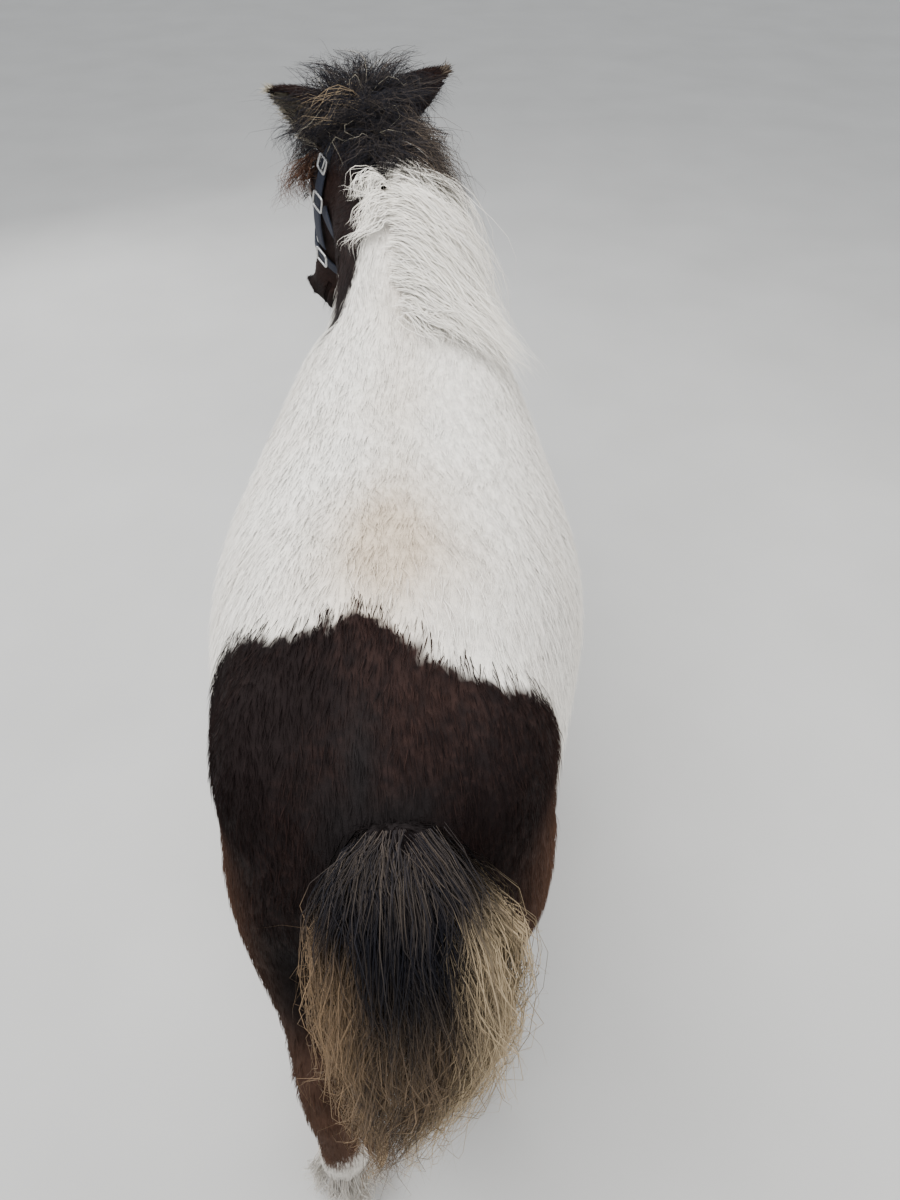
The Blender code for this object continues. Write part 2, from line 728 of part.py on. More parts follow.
def foot_place(name):
    """The middle of a hoof's sole on the floor."""
    forward, up, left, long, wide = leg_rows(name)[-1]
    return forward, left


def coronet(name, lift):
    """A point and the upward direction of the sloping plane where hair meets hoof."""
    forward, left = foot_place(name)
    rise = CORONET_FRONT - CORONET_BACK
    slope = math.atan2(rise, 2 * SOLE[0])
    upward = Vector((0, math.sin(slope), math.cos(slope)))
    return at(forward, (CORONET_FRONT + CORONET_BACK) / 2, left) + upward * lift, upward


def make_hoof(name, pony, cutters):
    """A hoof: a cone whose wall slopes forward to the toe, flat below and cut off at the coronet."""
    forward, left = foot_place(name)
    rings = []
    for up, shift, long, wide in HOOF_ROWS:
        row = []
        for k in range(HOOF_SIDES):
            angle = 2 * math.pi * k / HOOF_SIDES
            along = math.cos(angle)
            heel = 0.86 if along < 0 else 1.0
            row.append(at(forward + shift + along * long * heel, up, left + math.sin(angle) * wide))
        rings.append(row)
    bm = bmesh.new()
    add_rings(bm, rings)
    hoof = object_from(name.replace("leg", "hoof"), bm, pony)
    return cut(hoof, half_space("hair_side", *coronet(name, -GAP / 2), cutters))


def make_ear(name, side, neighbours, pony, cutters):
    """A pointed cup of skin, open to its front, with its base cut to the head's surface."""
    root = in_head(*EAR_ROOT[side])
    stem = Vector(EAR_STEM[side]).normalized()
    opening = Vector(EAR_OPENING[side])
    opening = (opening - stem * opening.dot(stem)).normalized()
    across = stem.cross(opening)
    bm = bmesh.new()
    rows = []
    for i in range(EAR_ROWS + 1):
        t = i / EAR_ROWS
        width = EAR_BREADTH * (math.sin(math.pi * (0.16 + 0.84 * t) ** 0.80) ** 0.72) * (1 - 0.15 * t)
        width = max(width, 0.0012)
        sweep = math.radians(150 - 75 * t)
        middle = root + stem * (EAR_LENGTH + EAR_SINK) * (t - EAR_SINK / EAR_LENGTH) + opening * 0.012 * t * t
        row = []
        for k in range(EAR_COLUMNS + 1):
            turn = sweep * (2 * k / EAR_COLUMNS - 1)
            out = -opening * math.cos(turn) + across * math.sin(turn)
            row.append(bm.verts.new(middle + out * width))
        rows.append(row)
    for low, high in zip(rows, rows[1:]):
        for k in range(EAR_COLUMNS):
            bm.faces.new((low[k], low[k + 1], high[k + 1], high[k]))
    ear = object_from(name, bm, pony)
    applied(ear, "SOLIDIFY", thickness=EAR_THICKNESS, offset=0.0)
    applied(ear, "TRIANGULATE")
    for neighbour in neighbours:
        clear_of(ear, neighbour, 2 * GAP, cutters)
    return largest_only(ear)


def make_eye(name, centre, look, pony):
    bm = bmesh.new()
    turn = look.to_track_quat("Z", "Y").to_matrix().to_4x4()
    place = Matrix.Translation(centre) @ turn
    bmesh.ops.create_uvsphere(bm, u_segments=12, v_segments=8, radius=EYE_RADIUS, matrix=place)
    return object_from(name, bm, pony)


def open_head(head, tree, cutters):
    """Cuts the sockets, the nostrils and the line of the mouth."""
    for side in (1, -1):
        opening, look, ball = eye_parts(tree, side)
        socket = bmesh.new()
        turn = look.to_track_quat("Z", "Y").to_matrix().to_4x4()
        radius = EYE_RADIUS + 2 * GAP
        bmesh.ops.create_uvsphere(
            socket, u_segments=12, v_segments=8, radius=radius, matrix=Matrix.Translation(ball) @ turn
        )
        cut(head, as_cutter(object_from("socket", socket, cutters)))
        place, out = nostril_place(tree, side)
        hole = bmesh.new()
        add_ellipsoid(hole, place - out * 0.004, nostril_axes(out, side), NOSTRIL_HOLE, 12, 7)
        cut(head, as_cutter(object_from("nostril", hole, cutters)))
    bm = bmesh.new()
    line = mouth_line(tree_of(head))
    points = [point for point, out in line]
    sizes = [MOUTH_GROOVE] * len(points)
    add_strand(bm, points, sizes, sizes, [HEAD_UP] * len(points), ring=5)
    cut(head, as_cutter(object_from("mouth", bm, cutters)))
    return largest_only(head)


def surface_reach(trees, origin, out):
    """How far the surface is from here along this way: the smooth flesh's, or a facet's just outside it."""
    smooth, faceted = trees
    reach = (smooth.ray_cast(origin, out)[0] - origin).length
    facet = faceted.ray_cast(origin + out * (reach + FACET_REACH), -out, 2 * FACET_REACH)[0]
    if facet:
        reach = max(reach, (facet - origin).dot(out))
    return reach


def ring_about(trees, centre, right, up, across, start, end, closed):
    """Where a taut strap lies: inner points of three lines side by side, evenly spaced round the flesh."""
    fine = np.arange(math.radians(start), math.radians(end) + 1e-6, math.radians(2.5))
    reaches = np.zeros((len(fine), 3))
    for i, angle in enumerate(fine):
        out = right * math.cos(angle) + up * math.sin(angle)
        for j, share in enumerate((-0.5, 0.0, 0.5)):
            origin = centre + across * STRAP_WIDTH * share
            reaches[i, j] = surface_reach(trees, origin, out) + STRAP_CLEARANCE
    own = reaches.copy()
    for _ in range(12):
        before, after = np.roll(reaches, 1, axis=0), np.roll(reaches, -1, axis=0)
        if not closed:
            before[0], after[-1] = reaches[0], reaches[-1]
        reaches = np.maximum(own, (before + after) / 2)
    lines = []
    for i, angle in enumerate(fine):
        out = right * math.cos(angle) + up * math.sin(angle)
        lines.append([centre + across * STRAP_WIDTH * s + out * reaches[i, j] for j, s in enumerate((-0.5, 0, 0.5))])
    walked = [0.0]
    for a, b in zip(lines, lines[1:]):
        walked.append(walked[-1] + (b[1] - a[1]).length)
    count = max(3, round(walked[-1] / STRAP_STEP))
    picks = np.linspace(0, walked[-1], count + 1)
    rows = []
    for pick in picks[: -1 if closed else None]:
        i = min(len(walked) - 2, int(np.searchsorted(walked, pick, side="right")) - 1)
        share = (pick - walked[i]) / (walked[i + 1] - walked[i])
        rows.append([a.lerp(b, share) for a, b in zip(lines[i], lines[i + 1])])
    return rows


def make_strap(name, trees, centre, right, up, span, pony):
    """A flat strap lying round the flesh in one plane, over this span of degrees."""
    across = right.cross(up)
    closed = span[1] - span[0] >= 360
    rows = ring_about(trees, centre, right, up, across, span[0], span[1], closed)
    rings = []
    for i, row in enumerate(rows):
        ahead = rows[(i + 1) % len(rows) if closed else min(i + 1, len(rows) - 1)][1]
        behind = rows[i - 1 if closed or i else 0][1]
        out = (ahead - behind).cross(across).normalized()
        if out.dot(row[1] - centre) < 0:
            out = -out
        rings.append(row + [point + out * STRAP_THICKNESS for point in reversed(row)])
    bm = bmesh.new()
    add_rings(bm, rings, closed=closed)
    strap = object_from(name, bm, pony)
    applied(strap, "TRIANGULATE")
    return strap


def make_frame(name, tree, place, face, way, size, pony):
    """A square metal frame lying on the straps where they meet."""
    out = HEAD_ALONG * face[0] + HEAD_UP * face[1] + HEAD_LEFT * face[2]
    start = in_head(*place)
    near, normal, index, distance = tree.ray_cast(start + out * 0.3, -out)
    out = (out + normal * 1.5).normalized()
    along, across = facing(out, HEAD_ALONG * way[0] + HEAD_UP * way[1])
    outer, inner = size / 2, size / 2 - FRAME_BAR
    heights = []
    for a in np.linspace(-1, 1, 7):
        for b in np.linspace(-1, 1, 7):
            corner = near + along * a * outer + across * b * outer
            hit = tree.ray_cast(corner + out * 0.05, -out)[0]
            if hit:
                heights.append((hit - near).dot(out))
    middle = near + out * (max(heights) + FRAME_LIFT + FRAME_THICKNESS / 2)
    rings = []
    for a, b in ((1, 1), (-1, 1), (-1, -1), (1, -1)):
        row = []
        for reach, lift in ((outer, -1), (outer, 1), (inner, 1), (inner, -1)):
            row.append(middle + (along * a + across * b) * reach + out * lift * FRAME_THICKNESS / 2)
        rings.append(row)
    bm = bmesh.new()
    add_rings(bm, rings, closed=True)
    return object_from(name, bm, pony)


def make_halter(trees, pieces, cutters, pony):
    """The straps of a plain webbing headcollar."""
    nose = in_head(NOSEBAND, -0.046)
    upward = (HEAD_UP - HEAD_ALONG * 0.06).normalized()
    made = [make_strap("halter_noseband", trees, nose, HEAD_LEFT, upward, (0, 360), pony)]
    cheek_way = (in_head(*CROWN_MIDDLE) - in_head(CHEEK_FOOT, CHEEK_FOOT_UP)).normalized()
    made.append(make_strap("halter_crown", trees, in_head(*CROWN_MIDDLE), HEAD_LEFT, cheek_way, CROWN_SPAN, pony))
    throat_way = (HEAD_ALONG * THROAT_WAY[0] + HEAD_UP * THROAT_WAY[1]).normalized()
    jaw = tree_of(pieces["head"])
    throat_middle = in_head(*THROAT_MIDDLE)
    throat = make_strap("halter_throat", (jaw, jaw), throat_middle, HEAD_LEFT, throat_way, THROAT_SPAN, pony)
    for neighbour in (pieces["head"], pieces["neck"], made[1]):
        clear_of(throat, neighbour, GAP, cutters)
    made.append(largest_only(throat))
    return made


def surface_place(tree, place):
    """The nearest place on a surface, its outward direction, and how far outside it the place lies."""
    near, normal, index, distance = tree.find_nearest(place)
    return near, normal, (place - near).dot(normal)


def lay_path(tree, root, way, length, steps, fall, clearance):
    """Where a lock lies: it sets out this way, droops under its weight and slides down over the body."""
    points, normals = [root], [surface_place(tree, root)[1]]
    way = way.normalized()
    for i in range(steps):
        way = (way - UP * fall).normalized()
        spot = points[-1] + way * length / steps
        near, normal, height = surface_place(tree, spot)
        needed = clearance * min(1.0, (i + 1) / 2)
        if height < needed:
            spot = near + normal * needed
        way = (spot - points[-1]).normalized()
        points.append(spot)
        normals.append(normal)
    return points, normals


def taper(share):
    """How thick a lock is this far along it: swelling from its root, then thinning to its tip."""
    return min(1.0, 0.65 + 1.6 * share) * (1 - share**2.6) + 0.05


def make_lock(path, width, depth, locks):
    """One flat, tapered lock of hair along a path of points and outward directions."""
    points, normals = path
    rings = []
    for i, point in enumerate(points):
        ahead = points[min(i + 1, len(points) - 1)] - points[max(i - 1, 0)]
        side = ahead.cross(normals[i]).normalized()
        out = side.cross(ahead).normalized()
        size = taper(i / (len(points) - 1))
        rings.append([point + side * width * size / 2, point + out * depth * size, point - side * width * size / 2])
    bm = bmesh.new()
    add_rings(bm, rings)
    return object_from("lock", bm, locks)


def about(value, spread=LOCK_SPREAD):
    return value * random.uniform(1 - spread, 1 + spread)


def mane_root(share):
    """A place on the crest, from just behind the poll to the withers."""
    rows = smooth_rows(NECK, 8)
    row = rows[round((1 - share) * (len(rows) - 1) * MANE_SPAN[0] + share * (len(rows) - 1) * MANE_SPAN[1])]
    return at(row[0], row[1], row[4])


def mane_locks(tree, locks):
    """Locks from the crest that fall down the right side of the neck, an upper row over a lower one."""
    random.seed(SEEDS["mane"])
    for count, length, width, depth, stand in MANE_ROWS:
        for i in range(count):
            share = (i + random.uniform(0.2, 0.8)) / count
            near, normal, height = surface_place(tree, mane_root(share) + UP * 0.05)
            root = near - normal * depth * 0.6 + LEFT * 0.004
            way = -LEFT + UP * 0.35 - FORWARD * (0.25 + random.uniform(-0.2, 0.2))
            reach = about(length) * (0.72 + 0.28 * math.sin(math.pi * share))
            make_lock(lay_path(tree, root, way, reach, 5, 0.42, stand), about(width), depth, locks)


def forelock_locks(tree, locks):
    """Locks from between the ears that fall over the forehead, leaving the eyes free."""
    random.seed(SEEDS["forelock"])
    for count, length, width, depth, stand, sweep in FORELOCK_ROWS:
        for i in range(count):
            turn = (2 * (i + random.uniform(0.2, 0.8)) / count - 1) * sweep
            near, normal, height = surface_place(tree, in_head(*FORELOCK_ROOT) + HEAD_LEFT * math.sin(turn) * 0.024)
            way = HEAD_ALONG * math.cos(turn) + HEAD_LEFT * math.sin(turn) * 0.8 + HEAD_UP * 0.30
            reach = about(length) * (0.66 + 0.34 * math.cos(turn))
            root = near - normal * depth * 0.4
            make_lock(lay_path(tree, root, way, reach, 4, 0.30, stand), about(width), depth, locks)


def feather_locks(tree, name, locks):
    """Locks from the back of a fetlock that fall round the heels."""
    random.seed(SEEDS["feather"])
    forward, left = foot_place(name)
    count, length, width, depth, stand = FEATHER
    for i in range(count):
        turn = (2 * (i + random.uniform(0.3, 0.7)) / count - 1) * FEATHER_SWEEP
        out = LEFT * math.sin(turn) - FORWARD * math.cos(turn)
        start = at(forward - FEATHER_SETBACK, FEATHER_TOP, left) + UP * random.uniform(-0.006, 0.012)
        near, normal, index, distance = tree.ray_cast(start + out * 0.12, -out)
        reach = about(length) * (0.72 + 0.28 * math.cos(turn))
        way = out * 0.7 - UP
        make_lock(lay_path(tree, near - out * depth * 0.4, way, reach, 4, 0.35, stand), about(width), depth, locks)


def tail_frame(share):
    """The tail's middle, its sideways and backward directions and its half sizes, this far down it."""
    rows = smooth_rows(TAIL, 4)
    step = share * (len(rows) - 1)
    i = min(len(rows) - 2, int(step))
    row = rows[i] + (rows[i + 1] - rows[i]) * (step - i)
    down = (at(*rows[i + 1][:3]) - at(*rows[i][:3])).normalized()
    return at(*row[:3]), LEFT, LEFT.cross(down).normalized(), row[3] / 2, row[4] / 2


def tail_path(start, end, turn, fullness, steps):
    """A lock's path down the tail, this way round from its middle."""
    points, normals = [], []
    for i in range(steps + 1):
        share = start + (end - start) * i / steps
        middle, side, back, wide, deep = tail_frame(share)
        reach = fullness * (0.45 + 0.55 * math.sin(math.pi * min(0.5, i / steps + 0.12)))
        out = side * math.sin(turn) * wide + back * math.cos(turn) * deep
        points.append(middle + out * reach)
        normals.append((side * math.sin(turn) / wide + back * math.cos(turn) / deep).normalized())
    return points, normals


def make_tail(locks, pony):
    """A core of hair half way down the tail, with locks in tiers round it."""
    shares = np.linspace(0, TAIL_CORE_END, 7)
    points, widths, depths, normals = [], [], [], []
    for i, share in enumerate(shares):
        middle, side, back, wide, deep = tail_frame(share)
        thin = 0.92 if i < 4 else 0.92 - 0.28 * (i - 3)
        points.append(middle)
        widths.append(2 * wide * thin)
        depths.append(2 * deep * thin)
        normals.append(back)
    bm = bmesh.new()
    add_strand(bm, points, widths, depths, normals, ring=14)
    random.seed(SEEDS["tail"])
    for start, count, fullness in TAIL_LOCKS:
        for i in range(count):
            turn = 2 * math.pi * (i + random.uniform(0.1, 0.9)) / count
            end = min(1.0, start + random.uniform(0.42, 0.62))
            path = tail_path(start, end, turn, fullness * random.uniform(0.92, 1.06), 4)
            make_lock(path, about(TAIL_LOCK_SIZE[0]), TAIL_LOCK_SIZE[1], locks)
    return object_from("tail", bm, pony)


def joined(body, locks):
    """One solid of the body and all the locks in this collection."""
    applied(body, "BOOLEAN", operation="UNION", operand_type="COLLECTION", collection=locks, solver="MANIFOLD")
    in_order(body)
    for lock in list(locks.objects):
        remove(lock)
    return body


def grow(body, locks, neighbours, cutters):
    """Joins the locks to the node they grow from, cut clear of its neighbours."""
    first = locks.objects[0]
    locks.objects.unlink(first)
    cutters.objects.link(first)
    no_hollows(joined(first, locks))
    decimated(first, triangle_count(first) * LOCK_DETAIL)
    for neighbour in neighbours:
        clear_of(first, neighbour, HAIR_GAP, cutters, "MANIFOLD")
    cut(body, first, "UNION", "MANIFOLD")
    return largest_only(body)


def add_hair(pieces, worn, cutters, pony):
    """The mane, the forelock, the feathers and the tail, clear of the ears and of what is worn."""
    head, neck, torso = pieces["head"], pieces["neck"], pieces["torso"]
    tree = tree_of(head, neck, torso)
    locks = bpy.data.collections.new("locks")
    cutters.children.link(locks)
    mane_locks(tree, locks)
    grow(neck, locks, [torso, head, *worn], cutters)
    forelock_locks(tree, locks)
    grow(head, locks, [neck, *worn], cutters)
    tail = no_hollows(joined(make_tail(locks, pony), locks))
    decimated(tail, triangle_count(tail) * LOCK_DETAIL)
    for neighbour in (torso, pieces["leg_hind_left"], pieces["leg_hind_right"]):
        clear_of(tail, neighbour, HAIR_GAP, cutters, "MANIFOLD")
    for name in LEGS:
        leg, hoof = pieces[name], pieces[name.replace("leg", "hoof")]
        feather_locks(tree_of(leg, hoof), name, locks)
        grow(leg, locks, [hoof], cutters)
    pieces["tail"] = largest_only(tail)


def material(name):
    colour, rough, metal = COLOURS[name]
    made = bpy.data.materials.new(name)
    made.use_nodes = True
    shader = made.node_tree.nodes["Principled BSDF"]
    shader.inputs["Base Color"].default_value = (*colour, 1)
    shader.inputs["Roughness"].default_value = rough
    shader.inputs["Metallic"].default_value = metal
    made.diffuse_color = (*colour, 1)
    return made


def finish(thing, look, angle=50):
    """Gives a solid its own material, and smooth shading except at sharp edges."""
    thing.data.materials.clear()
    thing.data.materials.append(material(look))
    thing.data.shade_smooth()
    thing.data.set_sharp_from_angle(angle=math.radians(angle))


def main():
    for thing in list(bpy.data.objects):
        remove(thing)
    pony = bpy.data.collections.new("shetland_pony")
    cutters = bpy.data.collections.new("cutters")
    bpy.context.scene.collection.children.link(pony)
    bpy.context.scene.collection.children.link(cutters)

    flesh = make_flesh(cutters)
    fine_tree = tree_of(flesh)
    head = make_head(flesh, pony)
    decimated(head, HEAD_TRIANGLES)
    decimated(flesh, BODY_TRIANGLES)
    pieces = part_flesh(flesh, head, pony, cutters)
    remove(flesh)
    open_head(head, fine_tree, cutters)
    trees = fine_tree, tree_of(pieces["head"], pieces["neck"], pieces["torso"])
    straps = make_halter(trees, pieces, cutters, pony)
    ears = []
    for side, word in ((1, "left"), (-1, "right")):
        opening, look, ball = eye_parts(fine_tree, side)
        finish(make_eye(f"eye_{word}", ball, look, pony), "eyeball")
        ears.append(make_ear(f"ear_{word}", side, [head, pieces["neck"], *straps], pony, cutters))
    for name in LEGS:
        hoof = make_hoof(name, pony, cutters)
        pieces[hoof.name] = hoof
    add_hair(pieces, straps + ears, cutters, pony)
    for strap in straps:
        finish(strap, "navy_webbing")
    for ear in ears:
        finish(ear, "dark_hair")
    strap_tree = tree_of(head, *straps)
    for name, place, face, way, size in FRAMES:
        finish(make_frame(name, strap_tree, place, face, way, size, pony), "silver_metal", 20)
    for name, piece in pieces.items():
        kind = "hoof_horn" if "hoof" in name else NODE_LOOKS.get(name, "white_hair")
        finish(piece, kind)


main()
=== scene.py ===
"""The looks of a life-size Shetland pony with its head turned to its left: skin, coat, long hair, eyes, hooves and halter.

Metres, +Z up. The pony faces -Y and its left side is +X. The floor is Z = 0.
Places on the body are given as forward of the buttocks, up from the floor and left of the midline.
"""

import math

import bmesh
import bpy
import numpy as np
from mathutils import Matrix, Vector
from mathutils.bvhtree import BVHTree


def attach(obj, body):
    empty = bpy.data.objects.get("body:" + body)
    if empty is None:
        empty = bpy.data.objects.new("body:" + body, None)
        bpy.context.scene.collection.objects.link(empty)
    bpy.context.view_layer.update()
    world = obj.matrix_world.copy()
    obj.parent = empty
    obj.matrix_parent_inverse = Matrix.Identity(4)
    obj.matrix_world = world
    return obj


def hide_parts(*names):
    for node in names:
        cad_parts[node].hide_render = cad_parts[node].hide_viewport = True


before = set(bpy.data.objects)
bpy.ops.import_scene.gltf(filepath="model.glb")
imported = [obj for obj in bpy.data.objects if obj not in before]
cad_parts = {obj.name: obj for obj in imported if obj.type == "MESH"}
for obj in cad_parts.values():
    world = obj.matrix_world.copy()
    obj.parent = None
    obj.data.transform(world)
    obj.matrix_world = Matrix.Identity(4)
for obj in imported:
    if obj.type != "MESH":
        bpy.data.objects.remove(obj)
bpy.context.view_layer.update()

# Driving sizes of the animal, with its winter coat.
REAR_TO_ORIGIN = 0.622
POLL = (1.150, 1.085, 0.056)
HEAD_YAW = math.radians(35)
HEAD_PITCH = math.radians(56)
HEAD_ROLL = math.radians(6)
EYE_RADIUS = 0.0185
EYE_PLACE = (0.122, 0.002)
EAR_LENGTH = 0.108
STRAP_WIDTH = 0.020
STRAP_THICKNESS = 0.0028

# How finely the skin is made.
VOXEL = 0.0080
SKIN_VOXEL = 0.0036
SKIN_TRIANGLES = 170000
RING = 28
RINGS_PER_SPAN = 4

# Torso stations: forward, top of the back, bottom of the belly, half width.
TORSO = (
    (0.012, 0.790, 0.630, 0.085),
    (0.045, 0.852, 0.575, 0.132),
    (0.110, 0.905, 0.535, 0.166),
    (0.200, 0.940, 0.510, 0.192),
    (0.280, 0.946, 0.488, 0.210),
    (0.360, 0.936, 0.462, 0.230),
    (0.450, 0.922, 0.436, 0.246),
    (0.540, 0.916, 0.420, 0.250),
    (0.620, 0.918, 0.416, 0.242),
    (0.700, 0.930, 0.422, 0.226),
    (0.780, 0.948, 0.436, 0.206),
    (0.860, 0.948, 0.458, 0.188),
    (0.930, 0.915, 0.505, 0.168),
    (0.985, 0.860, 0.565, 0.140),
    (1.025, 0.790, 0.630, 0.095),
)
TORSO_WIDEST = 0.47

# Neck stations: crest forward and up, throat side forward and up, left of the midline, half width.
NECK = (
    (0.690, 0.900, 1.000, 0.550, 0.000, 0.165),
    (0.785, 0.952, 1.040, 0.635, 0.000, 0.145),
    (0.875, 0.996, 1.058, 0.712, 0.004, 0.124),
    (0.965, 1.038, 1.072, 0.778, 0.014, 0.108),
    (1.050, 1.072, 1.086, 0.840, 0.030, 0.096),
    (1.120, 1.092, 1.104, 0.902, 0.046, 0.086),
)

# Head stations in the head's frame: along from the poll, top, bottom, half width.
HEAD = (
    (-0.030, 0.008, -0.085, 0.058),
    (0.000, 0.030, -0.118, 0.076),
    (0.048, 0.046, -0.148, 0.088),
    (0.096, 0.052, -0.158, 0.093),
    (0.144, 0.048, -0.150, 0.089),
    (0.192, 0.034, -0.132, 0.077),
    (0.240, 0.020, -0.112, 0.065),
    (0.288, 0.011, -0.097, 0.057),
    (0.330, 0.004, -0.088, 0.053),
    (0.362, -0.006, -0.080, 0.047),
    (0.382, -0.024, -0.068, 0.032),
)
# Leg stations: forward, up, left, half length fore and aft, half width.
FORELEG = (
    (0.845, 0.640, 0.104, 0.110, 0.078),
    (0.828, 0.560, 0.108, 0.098, 0.072),
    (0.818, 0.480, 0.110, 0.078, 0.063),
    (0.815, 0.410, 0.110, 0.061, 0.054),
    (0.818, 0.350, 0.109, 0.050, 0.046),
    (0.826, 0.300, 0.108, 0.046, 0.043),
    (0.826, 0.262, 0.108, 0.040, 0.038),
    (0.820, 0.205, 0.107, 0.034, 0.032),
    (0.817, 0.155, 0.106, 0.035, 0.033),
    (0.819, 0.118, 0.105, 0.041, 0.038),
    (0.832, 0.082, 0.105, 0.038, 0.037),
    (0.846, 0.048, 0.105, 0.043, 0.042),
    (0.854, 0.015, 0.105, 0.046, 0.045),
)
HINDLEG = (
    (0.198, 0.700, 0.102, 0.178, 0.082),
    (0.196, 0.620, 0.110, 0.168, 0.080),
    (0.190, 0.550, 0.116, 0.145, 0.074),
    (0.170, 0.490, 0.116, 0.116, 0.065),
    (0.140, 0.430, 0.113, 0.082, 0.054),
    (0.104, 0.385, 0.109, 0.061, 0.046),
    (0.076, 0.350, 0.106, 0.053, 0.041),
    (0.064, 0.310, 0.104, 0.046, 0.038),
    (0.061, 0.250, 0.102, 0.037, 0.033),
    (0.060, 0.185, 0.100, 0.035, 0.032),
    (0.062, 0.130, 0.099, 0.041, 0.038),
    (0.078, 0.088, 0.099, 0.038, 0.037),
    (0.093, 0.048, 0.099, 0.044, 0.043),
    (0.101, 0.015, 0.099, 0.047, 0.046),
)
# Each leg: its stations, its side, its step forward, and how far inwards its foot stands.
LEGS = {
    "leg_front_left": (FORELEG, 1, 0.010, 0.004),
    "leg_front_right": (FORELEG, -1, -0.022, 0.006),
    "leg_hind_left": (HINDLEG, 1, -0.060, 0.022),
    "leg_hind_right": (HINDLEG, -1, 0.055, 0.032),
}
CORONET_FRONT = 0.062
CORONET_BACK = 0.036
# Hoof rows: up, shift forward of the sole's middle, half length and half width.
HOOF_ROWS = ((0.0, 0.0, 0.055, 0.052), (0.030, -0.008, 0.048, 0.046), (0.075, -0.020, 0.039, 0.039))

# Face details, placed in the head's frame.
EYE_BULGE = 0.0065
LID_RADII = (0.0205, 0.0160)
LID_THICKNESS = 0.0046
BROW_RADII = (0.030, 0.011, 0.011)
BROW_RISE = 0.019
BROW_SINK = 0.0145
NOSTRIL = (0.346, -0.024, 0.030)
NOSTRIL_RIM = (0.0160, 0.0100)
NOSTRIL_RIM_THICKNESS = 0.0042
NOSTRIL_HOLE = (0.0135, 0.0072, 0.0130)
MOUTH_UP = -0.058
MOUTH_CORNER = 0.305
MOUTH_SWEEP = 98
MOUTH_DROP = 0.004
MOUTH_GROOVE = 0.0040

# Ears: root in the head's frame, the way they point and the way the cup opens, left ear then right.
EAR_ROOT = {1: (0.018, 0.026, 0.054), -1: (0.018, 0.026, -0.060)}
EAR_STEM = {1: (0.78, 0.10, 0.60), -1: (-0.82, -0.14, 0.52)}
EAR_OPENING = {1: (0.55, 0.72, -0.20), -1: (-0.45, -0.82, 0.0)}
EAR_BREADTH = {1: 0.037, -1: 0.029}
EAR_SINK = 0.020

# The halter.
NOSEBAND = 0.235
CHEEK_FOOT = (0.225, -0.046)
CROWN_MIDDLE = (0.100, -0.018)
CROWN_SPAN = (-56, 236)
THROAT_MIDDLE = (0.116, -0.056)
THROAT_WAY = (-0.56, 0.83)
THROAT_SPAN = (166, 374)

# Tail stations: forward, up, left, width and depth fore and aft.
TAIL = (
    (0.085, 0.846, -0.012, 0.040, 0.034),
    (0.045, 0.840, -0.020, 0.104, 0.046),
    (0.006, 0.822, -0.026, 0.144, 0.060),
    (-0.022, 0.780, -0.033, 0.168, 0.070),
    (-0.036, 0.710, -0.037, 0.174, 0.074),
    (-0.042, 0.630, -0.034, 0.168, 0.070),
    (-0.045, 0.540, -0.022, 0.138, 0.062),
    (-0.048, 0.450, -0.006, 0.092, 0.050),
    (-0.050, 0.360, 0.004, 0.054, 0.036),
    (-0.050, 0.275, 0.006, 0.014, 0.012),
)

# The front edge of the dark patch on the rump: degrees round the trunk from its top to its left, and forward.
RUMP_EDGE = (
    (-180, 0.300),
    (-125, 0.265),
    (-100, 0.190),
    (-75, 0.165),
    (-55, 0.196),
    (-42, 0.186),
    (-27, 0.163),
    (-15, 0.172),
    (-5, 0.191),
    (0, 0.208),
    (5, 0.221),
    (8, 0.207),
    (16, 0.204),
    (24, 0.210),
    (31, 0.231),
    (39, 0.248),
    (48, 0.241),
    (70, 0.236),
    (100, 0.250),
    (130, 0.285),
    (180, 0.300),
)
TRUNK_AXIS_UP = 0.66

# Hair colours.
CREAM = (0.84, 0.80, 0.73)
BEIGE = (0.58, 0.475, 0.36)
GREYED_BEIGE = (0.42, 0.36, 0.29)
BLACK = (0.012, 0.010, 0.010)
DARK = (0.0095, 0.0064, 0.0062)
RED_BROWN = (0.034, 0.018, 0.0145)
THIGH_BROWN = (0.098, 0.052, 0.034)
GREY_BLACK = (0.011, 0.011, 0.014)
BLOND = (0.52, 0.40, 0.25)
TAN = (0.30, 0.20, 0.115)
STRAW = (0.66, 0.60, 0.46)
GRIZZLE = (0.115, 0.090, 0.068)

# The coat: tuft length and width on the trunk, the upper leg, the lower leg, the cheek and the muzzle.
COAT_TRUNK = (0.030, 0.0018)
COAT_RUMP = (0.020, 0.0016)
COAT_UPPER_LEG = (0.022, 0.0019)
COAT_LOWER_LEG = (0.014, 0.0016)
COAT_CHEEK = (0.012, 0.0015)
COAT_MUZZLE = (0.0050, 0.0011)
COAT_DEPTH = 0.40
# The coat's layers: name, rows of points in each tuft, how often tufts cover the skin, their slant and their size.
COAT_LAYERS = (("under", 2, 2.7, 6, 1.0), ("over", 3, 0.56, 8, 1.10))
MOST_TRIANGLES = 190000
# How many times long hair waves from root to tip, and how far each hair strays from the wave of its lock.
WAVE_TURNS = (0.6, 1.3, 2.1)
OWN_WAVE = 0.55
# How far down the mane its dark part goes over into white, how high the poll's hair stands, how far back the tail's
# hair stands, and over what distance before that the hair bends.
MANE_DARK = (0.20, 0.33)
POLL_TOP = 1.178
TAIL_BACK = 0.765
BEND = 0.030
# The length and width of the short hair on the dock.
DOCK_HAIR = (0.016, 0.0015)
PATCH = 0.003


def at(forward, up, left=0.0):
    """The point this far forward of the buttocks, up from the floor and left of the midline."""
    return Vector((left, REAR_TO_ORIGIN - forward, up))


